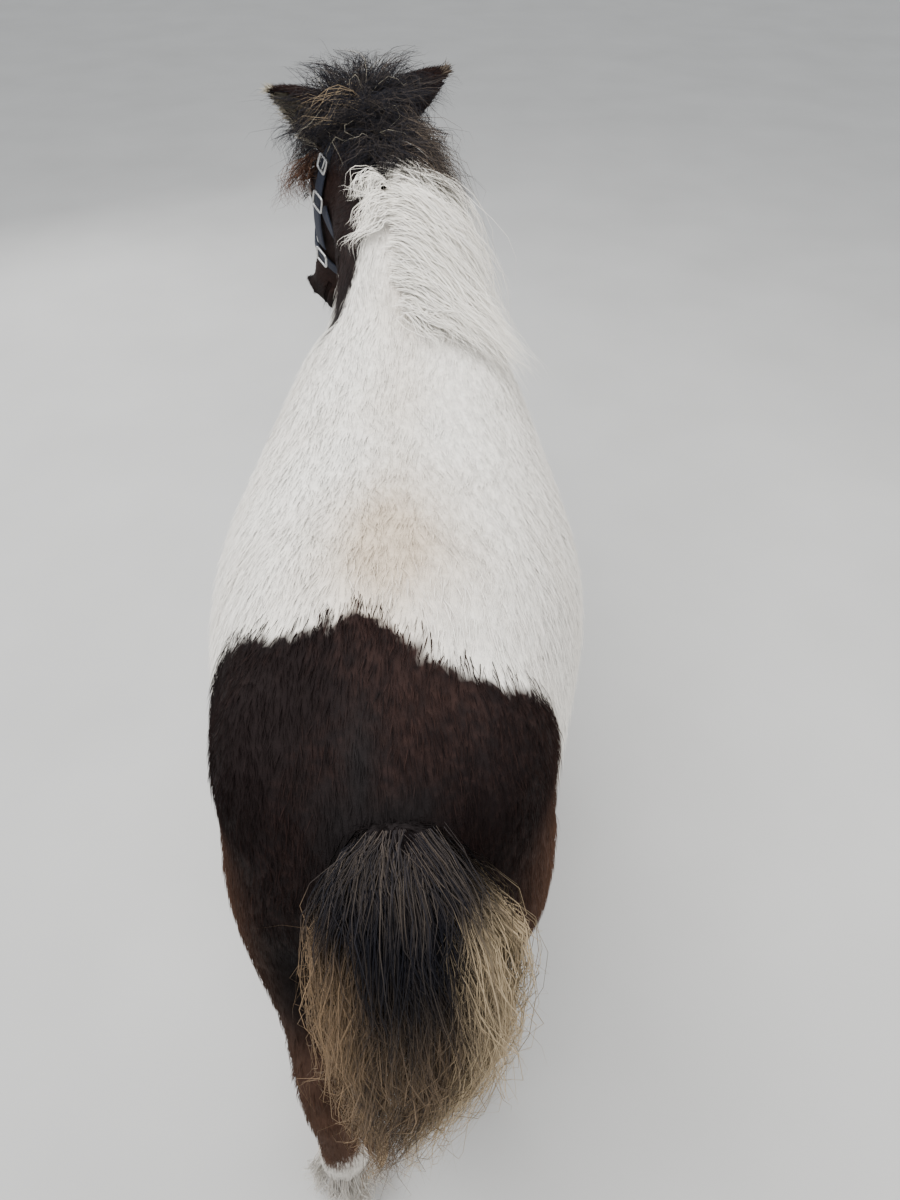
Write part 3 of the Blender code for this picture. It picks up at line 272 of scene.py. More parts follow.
def head_frame():
    """The head's axes in the world: along to the muzzle, left, and dorsal, out of the forehead."""
    turn = Matrix.Rotation(HEAD_YAW, 3, "Z")
    along = Vector((0, -math.cos(HEAD_PITCH), -math.sin(HEAD_PITCH)))
    dorsal = Vector((0, -math.sin(HEAD_PITCH), math.cos(HEAD_PITCH)))
    left = Vector((1, 0, 0))
    roll = Matrix.Rotation(-HEAD_ROLL, 3, along)
    return turn @ along, turn @ roll @ left, turn @ roll @ dorsal


HEAD_ALONG, HEAD_LEFT, HEAD_UP = head_frame()
HEAD_AXES = (HEAD_ALONG, HEAD_UP, HEAD_LEFT)
FORWARD = Vector((0, -1, 0))
UP = Vector((0, 0, 1))
LEFT = Vector((1, 0, 0))
BODY_AXES = (FORWARD, UP, LEFT)
# A direction along which no two places of a mesh are level.
SORTING_WAY = Vector((0.5257, 0.7071, 0.4736))


def in_head(along, up, left=0.0):
    """A place on the head, in its own frame, as a point in the world."""
    return at(*POLL) + HEAD_ALONG * along + HEAD_UP * up + HEAD_LEFT * left


def tilted(axes, degrees):
    """Body axes with forward turned upwards by this angle."""
    turn = Matrix.Rotation(math.radians(-degrees), 3, "X")
    return tuple(turn @ axis for axis in axes)


def smooth_rows(rows, per_span):
    """Rows of numbers with more between them, on a curve through them all."""
    rows = np.array(rows, float)
    padded = np.vstack([2 * rows[0] - rows[1], rows, 2 * rows[-1] - rows[-2]])
    made = []
    for i in range(1, len(padded) - 2):
        a, b, c, d = padded[i - 1 : i + 3]
        for t in np.linspace(0, 1, per_span, endpoint=False):
            slope, bend, twist = c - a, 2 * a - 5 * b + 4 * c - d, 3 * b - a - 3 * c + d
            made.append(0.5 * (2 * b + slope * t + bend * t**2 + twist * t**3))
    made.append(padded[-2])
    return np.array(made)


def object_from(name, bm):
    bmesh.ops.recalc_face_normals(bm, faces=bm.faces)
    mesh = bpy.data.meshes.new(name)
    bm.to_mesh(mesh)
    bm.free()
    thing = bpy.data.objects.new(name, mesh)
    bpy.context.scene.collection.objects.link(thing)
    return thing


def applied(thing, kind, **settings):
    """The object with one modifier made part of its mesh."""
    modifier = thing.modifiers.new(kind.lower(), kind)
    for key, value in settings.items():
        setattr(modifier, key, value)
    graph = bpy.context.evaluated_depsgraph_get()
    mesh = bpy.data.meshes.new_from_object(thing.evaluated_get(graph))
    thing.modifiers.clear()
    old = thing.data
    thing.data = mesh
    bpy.data.meshes.remove(old)
    return thing


def remove(thing):
    bpy.data.objects.remove(thing, do_unlink=True)


def add_rings(bm, rings, closed=False):
    """Faces between rows of points, each row a ring, with a flat fan on each end unless it closes on itself."""
    made = [[bm.verts.new(point) for point in ring] for ring in rings]
    pairs = list(zip(made, made[1:]))
    if closed:
        pairs.append((made[-1], made[0]))
    for low, high in pairs:
        for k in range(len(low)):
            n = (k + 1) % len(low)
            bm.faces.new((low[k], low[n], high[n], high[k]))
    if not closed:
        for row in (made[0], made[-1]):
            bm.faces.new(row)


def add_loft(bm, sections, ring=RING, power=2.25):
    """A closed tube through sections of (centre, side, up, half width, height above, height below)."""
    rings = []
    for centre, side, up, wide, above, below in sections:
        row = []
        for k in range(ring):
            angle = 2 * math.pi * k / ring
            c, s = math.cos(angle), math.sin(angle)
            across = wide * math.copysign(abs(c) ** (2 / power), c)
            rise = (above if s > 0 else below) * math.copysign(abs(s) ** (2 / power), s)
            row.append(centre + side * across + up * rise)
        rings.append(row)
    add_rings(bm, rings)


def add_ellipsoid(bm, centre, axes, radii, segments=24, rings=14):
    """An ellipsoid whose axes are given as three unit vectors."""
    turn = Matrix([axes[0] * radii[0], axes[1] * radii[1], axes[2] * radii[2]]).transposed().to_4x4()
    place = Matrix.Translation(centre) @ turn
    bmesh.ops.create_uvsphere(bm, u_segments=segments, v_segments=rings, radius=1, matrix=place)


def add_torus(bm, centre, axes, radii, thickness, around=40, section=12):
    """A round-section ring in the plane of the first two axes, with its own radius along each."""
    rings = []
    for i in range(around):
        angle = 2 * math.pi * i / around
        out = axes[0] * math.cos(angle) * radii[0] + axes[1] * math.sin(angle) * radii[1]
        spoke = out.normalized()
        row = []
        for k in range(section):
            turn = 2 * math.pi * k / section
            row.append(centre + out + (spoke * math.cos(turn) + axes[2] * math.sin(turn)) * thickness)
        rings.append(row)
    add_rings(bm, rings, closed=True)


def add_tube(bm, points, sizes, normals, ring=8):
    """A round tube through points."""
    rings = []
    for i, point in enumerate(points):
        ahead = points[min(i + 1, len(points) - 1)] - points[max(i - 1, 0)]
        side = ahead.cross(normals[i]).normalized()
        out = side.cross(ahead).normalized()
        row = []
        for k in range(ring):
            angle = 2 * math.pi * k / ring
            row.append(point + (side * math.cos(angle) + out * math.sin(angle)) * sizes[i] / 2)
        rings.append(row)
    add_rings(bm, rings)


def tree_of(*things):
    """The surfaces of these solids together, for casting rays and finding nearest points."""
    points, faces = [], []
    for thing in things:
        first = len(points)
        points += [vertex.co.copy() for vertex in thing.data.vertices]
        thing.data.calc_loop_triangles()
        faces += [tuple(first + i for i in face.vertices) for face in thing.data.loop_triangles]
    return BVHTree.FromPolygons(points, faces)


def add_torso(bm):
    sections = []
    for forward, top, bottom, wide in smooth_rows(TORSO, RINGS_PER_SPAN):
        middle = bottom + TORSO_WIDEST * (top - bottom)
        sections.append((at(forward, middle), LEFT, UP, wide, top - middle, middle - bottom))
    add_loft(bm, sections)
    for side in (1, -1):
        add_ellipsoid(bm, at(0.200, 0.770, 0.098 * side), tilted(BODY_AXES, -25), (0.165, 0.125, 0.082))
        add_ellipsoid(bm, at(0.880, 0.700, 0.096 * side), tilted(BODY_AXES, -58), (0.230, 0.120, 0.082))


def add_neck(bm):
    sections = []
    for forward, up, under_forward, under_up, left, wide in smooth_rows(NECK, RINGS_PER_SPAN):
        crest, throat = at(forward, up, left), at(under_forward, under_up, left)
        middle = throat.lerp(crest, 0.46)
        axis = (crest - throat).normalized()
        sections.append((middle, LEFT, axis, wide, (crest - middle).length, (middle - throat).length))
    add_loft(bm, sections, power=2.1)


def add_head(bm):
    sections = []
    for along, top, bottom, wide in smooth_rows(HEAD, RINGS_PER_SPAN):
        middle = bottom + 0.58 * (top - bottom)
        sections.append((in_head(along, middle), HEAD_LEFT, HEAD_UP, wide, top - middle, middle - bottom))
    add_loft(bm, sections, power=2.2)
    for side in (1, -1):
        add_ellipsoid(bm, in_head(0.080, -0.082, 0.046 * side), HEAD_AXES, (0.088, 0.072, 0.042))
        add_ellipsoid(bm, in_head(0.348, -0.028, 0.028 * side), HEAD_AXES, (0.034, 0.026, 0.024))
    add_ellipsoid(bm, in_head(0.342, -0.034, 0), HEAD_AXES, (0.046, 0.036, 0.050))
    add_ellipsoid(bm, in_head(0.330, -0.080, 0), HEAD_AXES, (0.038, 0.022, 0.034))


def leg_rows(name):
    """The leg's stations with its own step, below the body."""
    rows, side, step, inwards = LEGS[name]
    top = rows[1][1]
    placed = []
    for forward, up, left, long, wide in rows:
        share = min(1.0, max(0.0, (top - up) / (top - 0.28)))
        placed.append((forward + step * share, up, (left - inwards * share) * side, long, wide))
    return placed


def add_leg(bm, name):
    sections = []
    for forward, up, left, long, wide in smooth_rows(leg_rows(name), RINGS_PER_SPAN):
        sections.append((at(forward, up, left), LEFT, FORWARD, wide, long, long))
    add_loft(bm, sections, ring=20, power=2.0)
    if "hind" in name:
        hock = leg_rows(name)[6]
        place = at(hock[0] - 0.034, hock[1] + 0.014, hock[2])
        add_ellipsoid(bm, place, tilted(BODY_AXES, 80), (0.042, 0.022, 0.022))


def unit(rows):
    return rows / np.maximum(np.linalg.norm(rows, axis=-1, keepdims=True), 1e-9)


def ramp(values, low, high):
    """0 at or below low, 1 at or above high, and smooth between."""
    share = np.clip((values - low) / (high - low), 0, 1)
    return share * share * (3 - 2 * share)


def mix(a, b, share):
    """From a to b by a share for each row."""
    a, b, share = np.asarray(a, float), np.asarray(b, float), np.asarray(share, float)
    if max(a.ndim, b.ndim) > share.ndim or (a.ndim == b.ndim == 1 and a.shape == (3,)):
        share = share[..., None]
    return a + (b - a) * share


def ripple(points, size, seed):
    """Smooth noise over space, mostly from -1 to 1, with features of about this size."""
    draw = np.random.default_rng(seed)
    total = np.zeros(len(points))
    for _ in range(7):
        way = unit(draw.normal(size=3)) * 2 * math.pi / size * draw.uniform(0.6, 1.5)
        total += np.sin(points @ way + draw.uniform(0, 2 * math.pi))
    return total / 2.6


def body_places(points):
    """How far forward of the buttocks, up from the floor and left of the midline these points are."""
    return REAR_TO_ORIGIN - points[:, 1], points[:, 2], points[:, 0]


def head_places(points):
    """These points in the head's own frame: along, up and left."""
    offsets = points - np.array(at(*POLL))
    return tuple(offsets @ np.array(axis) for axis in HEAD_AXES)


def head_share(points):
    """1 on the head, 0 off it."""
    along, up, left = head_places(points)
    outside = np.sqrt((along - np.clip(along, 0, 0.36)) ** 2 + (up + 0.05) ** 2 + left**2)
    return ramp(along, -0.035, 0.02) * (1 - ramp(outside, 0.150, 0.185))


def leg_share(points):
    """0 on the trunk, 1 from the knees and hocks down."""
    return (1 - ramp(points[:, 2], 0.28, 0.50)) * (1 - head_share(points))


def near(points, places, reach):
    """1 at any of these places, falling to 0 at this reach from them."""
    closest = np.min([np.linalg.norm(points - np.array(place), axis=1) for place in places], axis=0)
    return 1 - ramp(closest, 0.3 * reach, reach)


def coat_sizes(points, bare):
    """How long and how wide the tufts of the coat are at each place."""
    head, leg = head_share(points), leg_share(points)
    along = head_places(points)[0]
    sizes = []
    rump = rump_share(points, 0.0)
    for i in (0, 1):
        size = mix(mix(COAT_TRUNK[i], COAT_RUMP[i], rump), COAT_UPPER_LEG[i], leg)
        size = mix(size, COAT_LOWER_LEG[i], 1 - ramp(points[:, 2], 0.12, 0.34))
        face = mix(COAT_CHEEK[i], COAT_MUZZLE[i], np.maximum(ramp(along, 0.20, 0.345), near(points, bare, 0.055)))
        sizes.append(mix(size, face, head))
    return sizes


def rump_share(points, wobble):
    """1 on the dark patch over the rump, down to the left hind hoof and the right hind fetlock."""
    forward, up, left = body_places(points)
    degrees = np.degrees(np.arctan2(left, up - TRUNK_AXIS_UP))
    edge = np.interp(degrees, *zip(*RUMP_EDGE))
    foot = np.where(left > 0, np.where(forward < 0.0, 0.150, 0.030), 0.125)
    white_foot = ramp(up + wobble * 2 - foot, 0.0, 0.025)
    return ramp(edge - forward + wobble, -0.006, 0.006) * white_foot * (forward < 0.45)


def dark_head_share(points, wobble):
    """1 on the dark head, up to its border just behind the poll and the jaw."""
    along, up, left = head_places(points)
    outside = np.sqrt((along - np.clip(along, 0, 0.36)) ** 2 + (up + 0.05) ** 2 + left**2)
    crest = np.minimum(0.07, 1.1 * np.maximum(0, 0.01 - left)) * ramp(up, -0.06, 0.0)
    border = -0.050 + 0.45 * np.maximum(0, -up - 0.12) + crest
    chest = ramp(outside, 0.145, 0.165) * (1 - ramp(points[:, 2], 0.87, 0.90))
    return ramp(along - border + wobble, -0.006, 0.006) * (1 - chest)


def coat_colours(points, seed):
    """The colour of the hair at each place: cream, with a dark head and a dark rump and hind legs."""
    draw = np.random.default_rng(seed)
    forward, up, left = body_places(points)
    count = len(points)
    wobble = ripple(points, 0.06, 3) * 0.004 + draw.normal(size=count) * 0.0035
    blotch = ripple(points, 0.22, 5)
    fleck = draw.uniform(0, 1, count)

    loin = np.exp(-((forward - 0.33) ** 2) / 0.011 - left**2 / 0.007) * ramp(up, 0.7, 0.85)
    spine = np.exp(-(left**2) / 0.0016) * ramp(up, 0.75, 0.9) * 0.25
    white = mix(CREAM, BEIGE, np.clip(0.85 * loin + spine + 0.08 * blotch + 0.10 * fleck, 0, 1))
    # Greyer and darker towards the bottom of the legs and under the belly.
    low = 1 - ramp(up, 0.10, 0.55)
    white = mix(white, GREYED_BEIGE, np.clip(low * (0.30 + 0.15 * blotch) + 0.10 * (1 - ramp(up, 0.45, 0.60)), 0, 1))

    side = ramp(np.abs(left), 0.10, 0.20) * (1 - ramp(up, 0.62, 0.80))
    streak = 0.22 + 0.25 * blotch + 0.7 * (fleck - 0.5) + 0.4 * side - 0.35 * ramp(left, 0.0, 0.12) * (1 - side)
    rump = mix(DARK, RED_BROWN, np.clip(streak, 0, 1))
    rump = mix(rump, THIGH_BROWN, np.clip(side * 1.1 + 0.8 * leg_share(points), 0, 1))
    # Painted shade: black down the midline of the buttocks round the tail's root and in the cleft between them.
    shade_round_tail_root = np.exp(-((left - 0.012) ** 2) / 0.0004) * (1 - ramp(forward, 0.08, 0.16))
    shade_in_cleft = (1 - ramp(np.abs(left), 0.03, 0.08)) * (1 - ramp(up, 0.84, 0.88)) * (1 - ramp(forward, 0.09, 0.14))
    rump = mix(rump, BLACK, np.clip(np.maximum(shade_round_tail_root, shade_in_cleft) * ramp(up, 0.45, 0.55), 0, 1))

    head = mix(DARK, RED_BROWN, np.clip(0.30 + 0.35 * blotch + 0.5 * (fleck - 0.5), 0, 0.8))
    along = head_places(points)[0]
    head = mix(head, BLACK, np.clip(ramp(along, 0.26, 0.36) * 0.8, 0, 1))
    colours = mix(white, rump, rump_share(points, wobble))
    return mix(colours, head, dark_head_share(points, wobble))


def lie_of_hair(points, normals, draw):
    """The way the hair lies: back along the trunk, down the sides and the legs, and to the muzzle on the head."""
    forward, up, left = body_places(points)
    back, down = -np.array(FORWARD), -np.array(UP)
    sides = 1 - np.abs(normals[:, 2])
    ways = back + down * (0.15 + 1.0 * sides)[:, None]
    ways = mix(ways, down + 0.2 * back, 1 - ramp(forward, 0.00, 0.16))
    ways = mix(ways, down + 0.25 * back, leg_share(points))
    ways = mix(ways, np.array(HEAD_ALONG), head_share(points))
    swirl = np.stack([ripple(points, 0.07, 20 + axis) for axis in range(3)], axis=1)
    whorl = np.stack([ripple(points, 0.025, 30 + axis) for axis in range(3)], axis=1)
    ways = unit(ways) + 0.12 * swirl + 0.07 * whorl + draw.normal(size=points.shape) * 0.12
    return unit(ways - normals * np.sum(ways * normals, axis=1, keepdims=True))


def unwrapped(points):
    """Each place's own spot on a flat map: the trunk with the neck, the head and each leg unrolled round its axis."""
    forward, up, left = body_places(points)
    spots = np.empty((len(points), 2))
    turn = np.arctan2(left, up - TRUNK_AXIS_UP) / (2 * math.pi) + 0.5
    spots[:, 0] = 0.02 + 0.94 * np.clip((forward + 0.02) / 1.22, 0, 1)
    spots[:, 1] = 0.50 + 0.48 * turn
    along, above, aside = head_places(points)
    on_head = head_share(points) > 0.5
    spots[on_head, 0] = 0.02 + 0.42 * np.clip((along[on_head] + 0.06) / 0.46, 0, 1)
    turn = np.arctan2(aside, above + 0.05) / (2 * math.pi) + 0.5
    spots[on_head, 1] = 0.02 + 0.44 * turn[on_head]
    for i, name in enumerate(LEGS):
        rows = np.array(leg_rows(name))[::-1]
        middle_forward = np.interp(up, rows[:, 1], rows[:, 0])
        middle_left = np.interp(up, rows[:, 1], rows[:, 2])
        here = (up < 0.43) & (~on_head) & (np.abs(forward - middle_forward) < 0.2) & (left * middle_left > 0)
        turn = np.arctan2(left - middle_left, forward - middle_forward) / (2 * math.pi) + 0.5
        spots[here, 0] = 0.47 + 0.125 * i + 0.11 * turn[here]
        spots[here, 1] = 0.02 + 0.44 * up[here] / 0.43
    return spots


def make_flesh():
    """The whole body as one closed surface, out to the tips of its coat."""
    bm = bmesh.new()
    add_torso(bm)
    add_neck(bm)
    add_head(bm)
    for name in LEGS:
        add_leg(bm, name)
    flesh = object_from("flesh", bm)
    applied(flesh, "REMESH", mode="VOXEL", voxel_size=VOXEL)
    points = points_of(flesh.data)
    above_legs = np.clip((points[:, 2] - 0.36) / 0.12, 0, 1)
    along = head_places(points)[0]
    off_head = np.where(points[:, 1] < REAR_TO_ORIGIN - 1.03, np.clip((0.03 - along) / 0.10, 0, 1), 1.0)
    weigh(flesh, "soft", 0.10 + 0.90 * np.minimum(above_legs, off_head))
    applied(flesh, "SMOOTH", factor=0.5, iterations=60, vertex_group="soft")
    return flesh


def points_of(mesh):
    values = np.empty(len(mesh.vertices) * 3, np.float32)
    mesh.vertices.foreach_get("co", values)
    return values.reshape(-1, 3).astype(float)


def normals_of(mesh):
    values = np.empty(len(mesh.vertices) * 3, np.float32)
    mesh.vertex_normals.foreach_get("vector", values)
    return values.reshape(-1, 3).astype(float)


def weigh(thing, name, weights):
    """Gives each point of the mesh its weight in a group."""
    group = thing.vertex_groups.new(name=name)
    for step, share in enumerate(np.linspace(0, 1, 21)):
        chosen = np.flatnonzero(np.round(weights * 20) == step)
        group.add(chosen.tolist(), float(share), "REPLACE")


def facing(out, way):
    """Two directions in the surface that faces out: the one nearest to this way, and the one across it."""
    along = (way - out * way.dot(out)).normalized()
    return along, out.cross(along)


def eye_parts(flesh_tree, side):
    """Where one eye sits: the middle of its opening, the way it looks, and the ball's centre."""
    look = (HEAD_LEFT * side + HEAD_ALONG * 0.20 + HEAD_UP * 0.28).normalized()
    start = in_head(EYE_PLACE[0], EYE_PLACE[1], 0)
    opening = flesh_tree.ray_cast(start + look * 0.3, -look)[0]
    return opening, look, opening - look * (EYE_RADIUS - EYE_BULGE)


def lid_axes(look):
    """The opening's own axes: along the lids down to their inner corner, up across them, and outwards."""
    along, across = facing(look, HEAD_ALONG - HEAD_UP * 0.25)
    return along, across * math.copysign(1, across.dot(HEAD_UP)), look


def nostril_axes(out, side):
    along, across = facing(out, HEAD_UP * 0.9 - HEAD_ALONG * 0.5 + HEAD_LEFT * side * 0.2)
    return along, across, out


def nostril_place(flesh_tree, side):
    """The middle of a nostril on the surface, and the way that it opens."""
    out = (HEAD_LEFT * side * 0.80 + HEAD_ALONG * 0.60 + HEAD_UP * 0.20).normalized()
    start = in_head(NOSTRIL[0], NOSTRIL[1], NOSTRIL[2] * side)
    return flesh_tree.ray_cast(start + out * 0.2, -out)[0], out


def mouth_line(flesh_tree, count=17):
    """Points round the muzzle from one corner of the mouth to the other."""
    points = []
    for degrees in np.linspace(-MOUTH_SWEEP, MOUTH_SWEEP, count):
        turn = math.radians(degrees)
        out = HEAD_ALONG * math.cos(turn) + HEAD_LEFT * math.sin(turn)
        start = in_head(MOUTH_CORNER, MOUTH_UP - MOUTH_DROP * (abs(degrees) / MOUTH_SWEEP) ** 2)
        points.append((flesh_tree.ray_cast(start + out * 0.2, -out)[0], out))
    return points


def cut(thing, bm, name):
    """Cuts away the space that a closed form fills."""
    cutter = object_from(name, bm)
    applied(thing, "BOOLEAN", operation="DIFFERENCE", object=cutter, solver="MANIFOLD")
    remove(cutter)


def make_skin(flesh, tree):
    """One skin for the whole animal, with its lids, nostrils and lips, set in from the coat's tips by the coat's depth."""
    bm = bmesh.new()
    bm.from_mesh(flesh.data)
    bare = []
    for side in (1, -1):
        opening, look, ball = eye_parts(tree, side)
        axes = lid_axes(look)
        bare.append(opening)
        add_torus(bm, opening, axes, LID_RADII, LID_THICKNESS)
        add_torus(bm, opening + axes[1] * 0.0035 - look * 0.0028, axes, (0.0265, 0.0225), 0.0036)
        add_ellipsoid(bm, opening + axes[1] * BROW_RISE - look * BROW_SINK, axes, BROW_RADII)
        place, out = nostril_place(tree, side)
        add_torus(bm, place - out * 0.001, nostril_axes(out, side), NOSTRIL_RIM, NOSTRIL_RIM_THICKNESS)
    line = mouth_line(tree)
    for offset, inset in ((0.0085, 0.004), (-0.0085, 0.0045)):
        lip = [point + HEAD_UP * offset - out * inset for point, out in line[1:-1]]
        add_tube(bm, lip, [0.015] * len(lip), [HEAD_UP] * len(lip))
    skin = object_from("skin", bm)
    applied(skin, "REMESH", mode="VOXEL", voxel_size=SKIN_VOXEL)
    applied(skin, "SMOOTH", factor=0.5, iterations=3)
    applied(skin, "TRIANGULATE")
    weigh(skin, "plain", 1 - ramp(head_places(points_of(skin.data))[0], 0.02, 0.06) * head_share(points_of(skin.data)))
    share = SKIN_TRIANGLES / len(skin.data.polygons)
    applied(skin, "DECIMATE", ratio=share, vertex_group="plain", vertex_group_factor=0.9)

    for side in (1, -1):
        opening, look, ball = eye_parts(tree, side)
        socket = bmesh.new()
        turn = look.to_track_quat("Z", "Y").to_matrix().to_4x4()
        place = Matrix.Translation(ball) @ turn
        bmesh.ops.create_uvsphere(socket, u_segments=40, v_segments=28, radius=EYE_RADIUS + 0.0002, matrix=place)
        cut(skin, socket, "socket")
        place, out = nostril_place(tree, side)
        hole = bmesh.new()
        add_ellipsoid(hole, place - out * 0.004, nostril_axes(out, side), NOSTRIL_HOLE, 32, 20)
        cut(skin, hole, "nostril")
    groove = bmesh.new()
    points = [point for point, out in mouth_line(tree_of(skin), 33)]
    add_tube(groove, points, [MOUTH_GROOVE] * len(points), [HEAD_UP] * len(points))
    cut(skin, groove, "mouth")

    points, normals = points_of(skin.data), normals_of(skin.data)
    length, width = coat_sizes(points, bare)
    points -= normals * (length * COAT_DEPTH)[:, None]
    skin.data.vertices.foreach_set("co", points.astype(np.float32).ravel())
    skin.data.update()
    applied(skin, "SMOOTH", factor=0.5, iterations=6, vertex_group="plain")
    return skin, bare


def tint(mesh, colours):
    """Gives each point of a mesh its own colour."""
    values = np.ones((len(mesh.vertices), 4), np.float32)
    values[:, :3] = np.clip(colours, 0, 1)
    attribute = mesh.color_attributes.new(name="tint", type="FLOAT_COLOR", domain="POINT")
    attribute.data.foreach_set("color", values.ravel())


def hair_mesh(name, paths, outs, widths, flat, colours, spots, soft):
    """Many closed, tapered, three-sided hairs or tufts, each along its own row of points.

    Each has its width, the way out of the coat, a colour at each point, and a small patch of the flat map.
    The shading follows the coat's own surface by the soft share, and each hair's roundness by the rest.
    """
    count, rows = paths.shape[:2]
    rings = rows - 1
    per_hair = rings * 3 + 1
    ahead = np.gradient(paths, axis=1) if rows > 2 else np.repeat(paths[:, 1:] - paths[:, :1], 2, axis=1)
    side = unit(np.cross(ahead, outs))
    out = unit(np.cross(side, ahead))
    share = np.arange(rings) / rings
    taper = np.minimum(1.0, 0.70 + 1.5 * share) * (1 - share**2.2)
    reach = (widths / 2)[:, None] * taper
    points, shading = np.empty((count, per_hair, 3)), np.empty((count, per_hair, 3))
    for k in range(3):
        angle = math.pi / 2 + 2 * math.pi * k / 3
        across = side[:, :-1] * math.cos(angle) + out[:, :-1] * math.sin(angle) * flat
        points[:, k:-1:3] = paths[:, :-1] + across * reach[:, :, None]
        shading[:, k:-1:3] = unit(outs[:, :-1] * soft + unit(across) * (1 - soft))
    points[:, -1] = paths[:, -1]
    shading[:, -1] = outs[:, -1]

    faces = [(0, 1, 2)]
    for row in range(rings - 1):
        for k in range(3):
            a, b = row * 3 + k, row * 3 + (k + 1) % 3
            faces += [(a, b + 3, b), (a, a + 3, b + 3)]
    for k in range(3):
        faces.append(((rings - 1) * 3 + k, rings * 3, (rings - 1) * 3 + (k + 1) % 3))
    corners = (np.array(faces)[None] + (np.arange(count) * per_hair)[:, None, None]).reshape(-1)

    mesh = bpy.data.meshes.new(name)
    mesh.vertices.add(count * per_hair)
    mesh.vertices.foreach_set("co", points.astype(np.float32).ravel())
    mesh.loops.add(len(corners))
    mesh.loops.foreach_set("vertex_index", corners.astype(np.int32))
    mesh.polygons.add(len(corners) // 3)
    mesh.polygons.foreach_set("loop_start", np.arange(0, len(corners), 3, dtype=np.int32))
    mesh.update(calc_edges=True)
    per_point = np.repeat(colours[:, :-1], 3, axis=1)
    tint(mesh, np.concatenate([per_point, colours[:, -1:]], axis=1).reshape(-1, 3))
    shares = np.append(np.repeat(np.arange(rings), 3), rings) / rings
    sides = np.append(np.tile([0.0, 0.5, 1.0], rings), 0.5)
    patch = np.stack([sides - 0.5, shares - 0.5], axis=1) * PATCH
    places = (spots[:, None] + patch[None]).reshape(-1, 2)
    layer = mesh.uv_layers.new(name="OFBake")
    layer.data.foreach_set("uv", places[corners].astype(np.float32).ravel())
    mesh.shade_smooth()
    mesh.normals_split_custom_set_from_vertices(shading.reshape(-1, 3))
    return mesh


def add_hairs(name, paths, outs, widths, flat, colours, spots, look, slot, nodes=(), soft=0.45):
    """Makes hairs into as many pieces as the limit of triangles asks for."""
    each = (paths.shape[1] - 2) * 6 + 4
    parts = math.ceil(len(paths) * each / MOST_TRIANGLES)
    for i, rows in enumerate(np.array_split(np.arange(len(paths)), parts)):
        label = f"{name}_{i + 1}" if parts > 1 else name
        data = (paths[rows], outs[rows], widths[rows], flat, colours[rows], spots[rows], soft)
        thing = bpy.data.objects.new(label, hair_mesh(label, *data))
        bpy.context.scene.collection.objects.link(thing)
        dress(thing, look, nodes if i == 0 else ())


def dress(thing, look, nodes=()):
    """Gives a piece its material, hangs it under the root body and hides the named parts of the model."""
    thing.data.materials.clear()
    thing.data.materials.append(look)
    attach(thing, "root")
    if nodes:
        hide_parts(*nodes)


def scattered(mesh, cover, sizes_of, draw):
    """Places drawn over a mesh, closer together where the tufts are smaller: points, normals, lengths and widths."""
    mesh.calc_loop_triangles()
    corners = np.empty(len(mesh.loop_triangles) * 3, np.int32)
    mesh.loop_triangles.foreach_get("vertices", corners)
    corners = corners.reshape(-1, 3)
    points, normals = points_of(mesh), normals_of(mesh)
    levels = (points @ np.array(SORTING_WAY))[corners]
    corners = np.take_along_axis(corners, np.argsort(levels, axis=1), axis=1)
    corners = corners[np.lexsort(np.sort(levels, axis=1).T)]
    a, b, c = (points[corners[:, k]] for k in range(3))
    areas = np.linalg.norm(np.cross(b - a, c - a), axis=1) / 2
    length, width = sizes_of((a + b + c) / 3)
    wanted = areas * cover / (length * width)
    chosen = draw.choice(len(areas), size=int(wanted.sum()), p=wanted / wanted.sum())
    chosen.sort()
    shares = draw.dirichlet((1, 1, 1), len(chosen))[:, :, None]
    picked = (points[corners[chosen]] * shares).sum(axis=1)
    facing_out = unit((normals[corners[chosen]] * shares).sum(axis=1))
    return picked, facing_out, *sizes_of(picked)


def tufts(points, normals, ways, lengths, rows, slant, draw):
    """Paths of short tufts that set out at a slant, in degrees, and bend back along the body."""
    rise = np.radians(draw.normal(slant, slant / 4, len(points)))[:, None]
    paths = [points - normals * 0.002]
    for row in range(1, rows):
        slant = rise * (1.9 - 1.2 * row / (rows - 1)) if rows > 2 else rise
        step = (ways * np.cos(slant) + normals * np.sin(slant)) * (lengths / (rows - 1))[:, None]
        paths.append((points if row == 1 else paths[-1]) + step)
    return np.stack(paths, axis=1), np.repeat(normals[:, None], rows, axis=1)


def shaded(colours, rows, draw, root=0.62, spread=0.13):
    """Hair colours darkened towards each root by painted shade, less so where pale, each hair a little lighter or
    darker.
    """
    pale = colours.mean(axis=1, keepdims=True)
    own = colours * (1 + draw.normal(size=(len(colours), 1)) * spread * (1 - 0.75 * pale))
    # Painted shade: each hair starts darker at its root, deep in the coat, and brightens out to its tip.
    start = root + (1 - root) * 0.9 * pale
    share = start + (1.04 - start) * np.linspace(0, 1, rows)[None]
    return np.clip(own[:, None] * share[:, :, None], 0.002, 0.92)


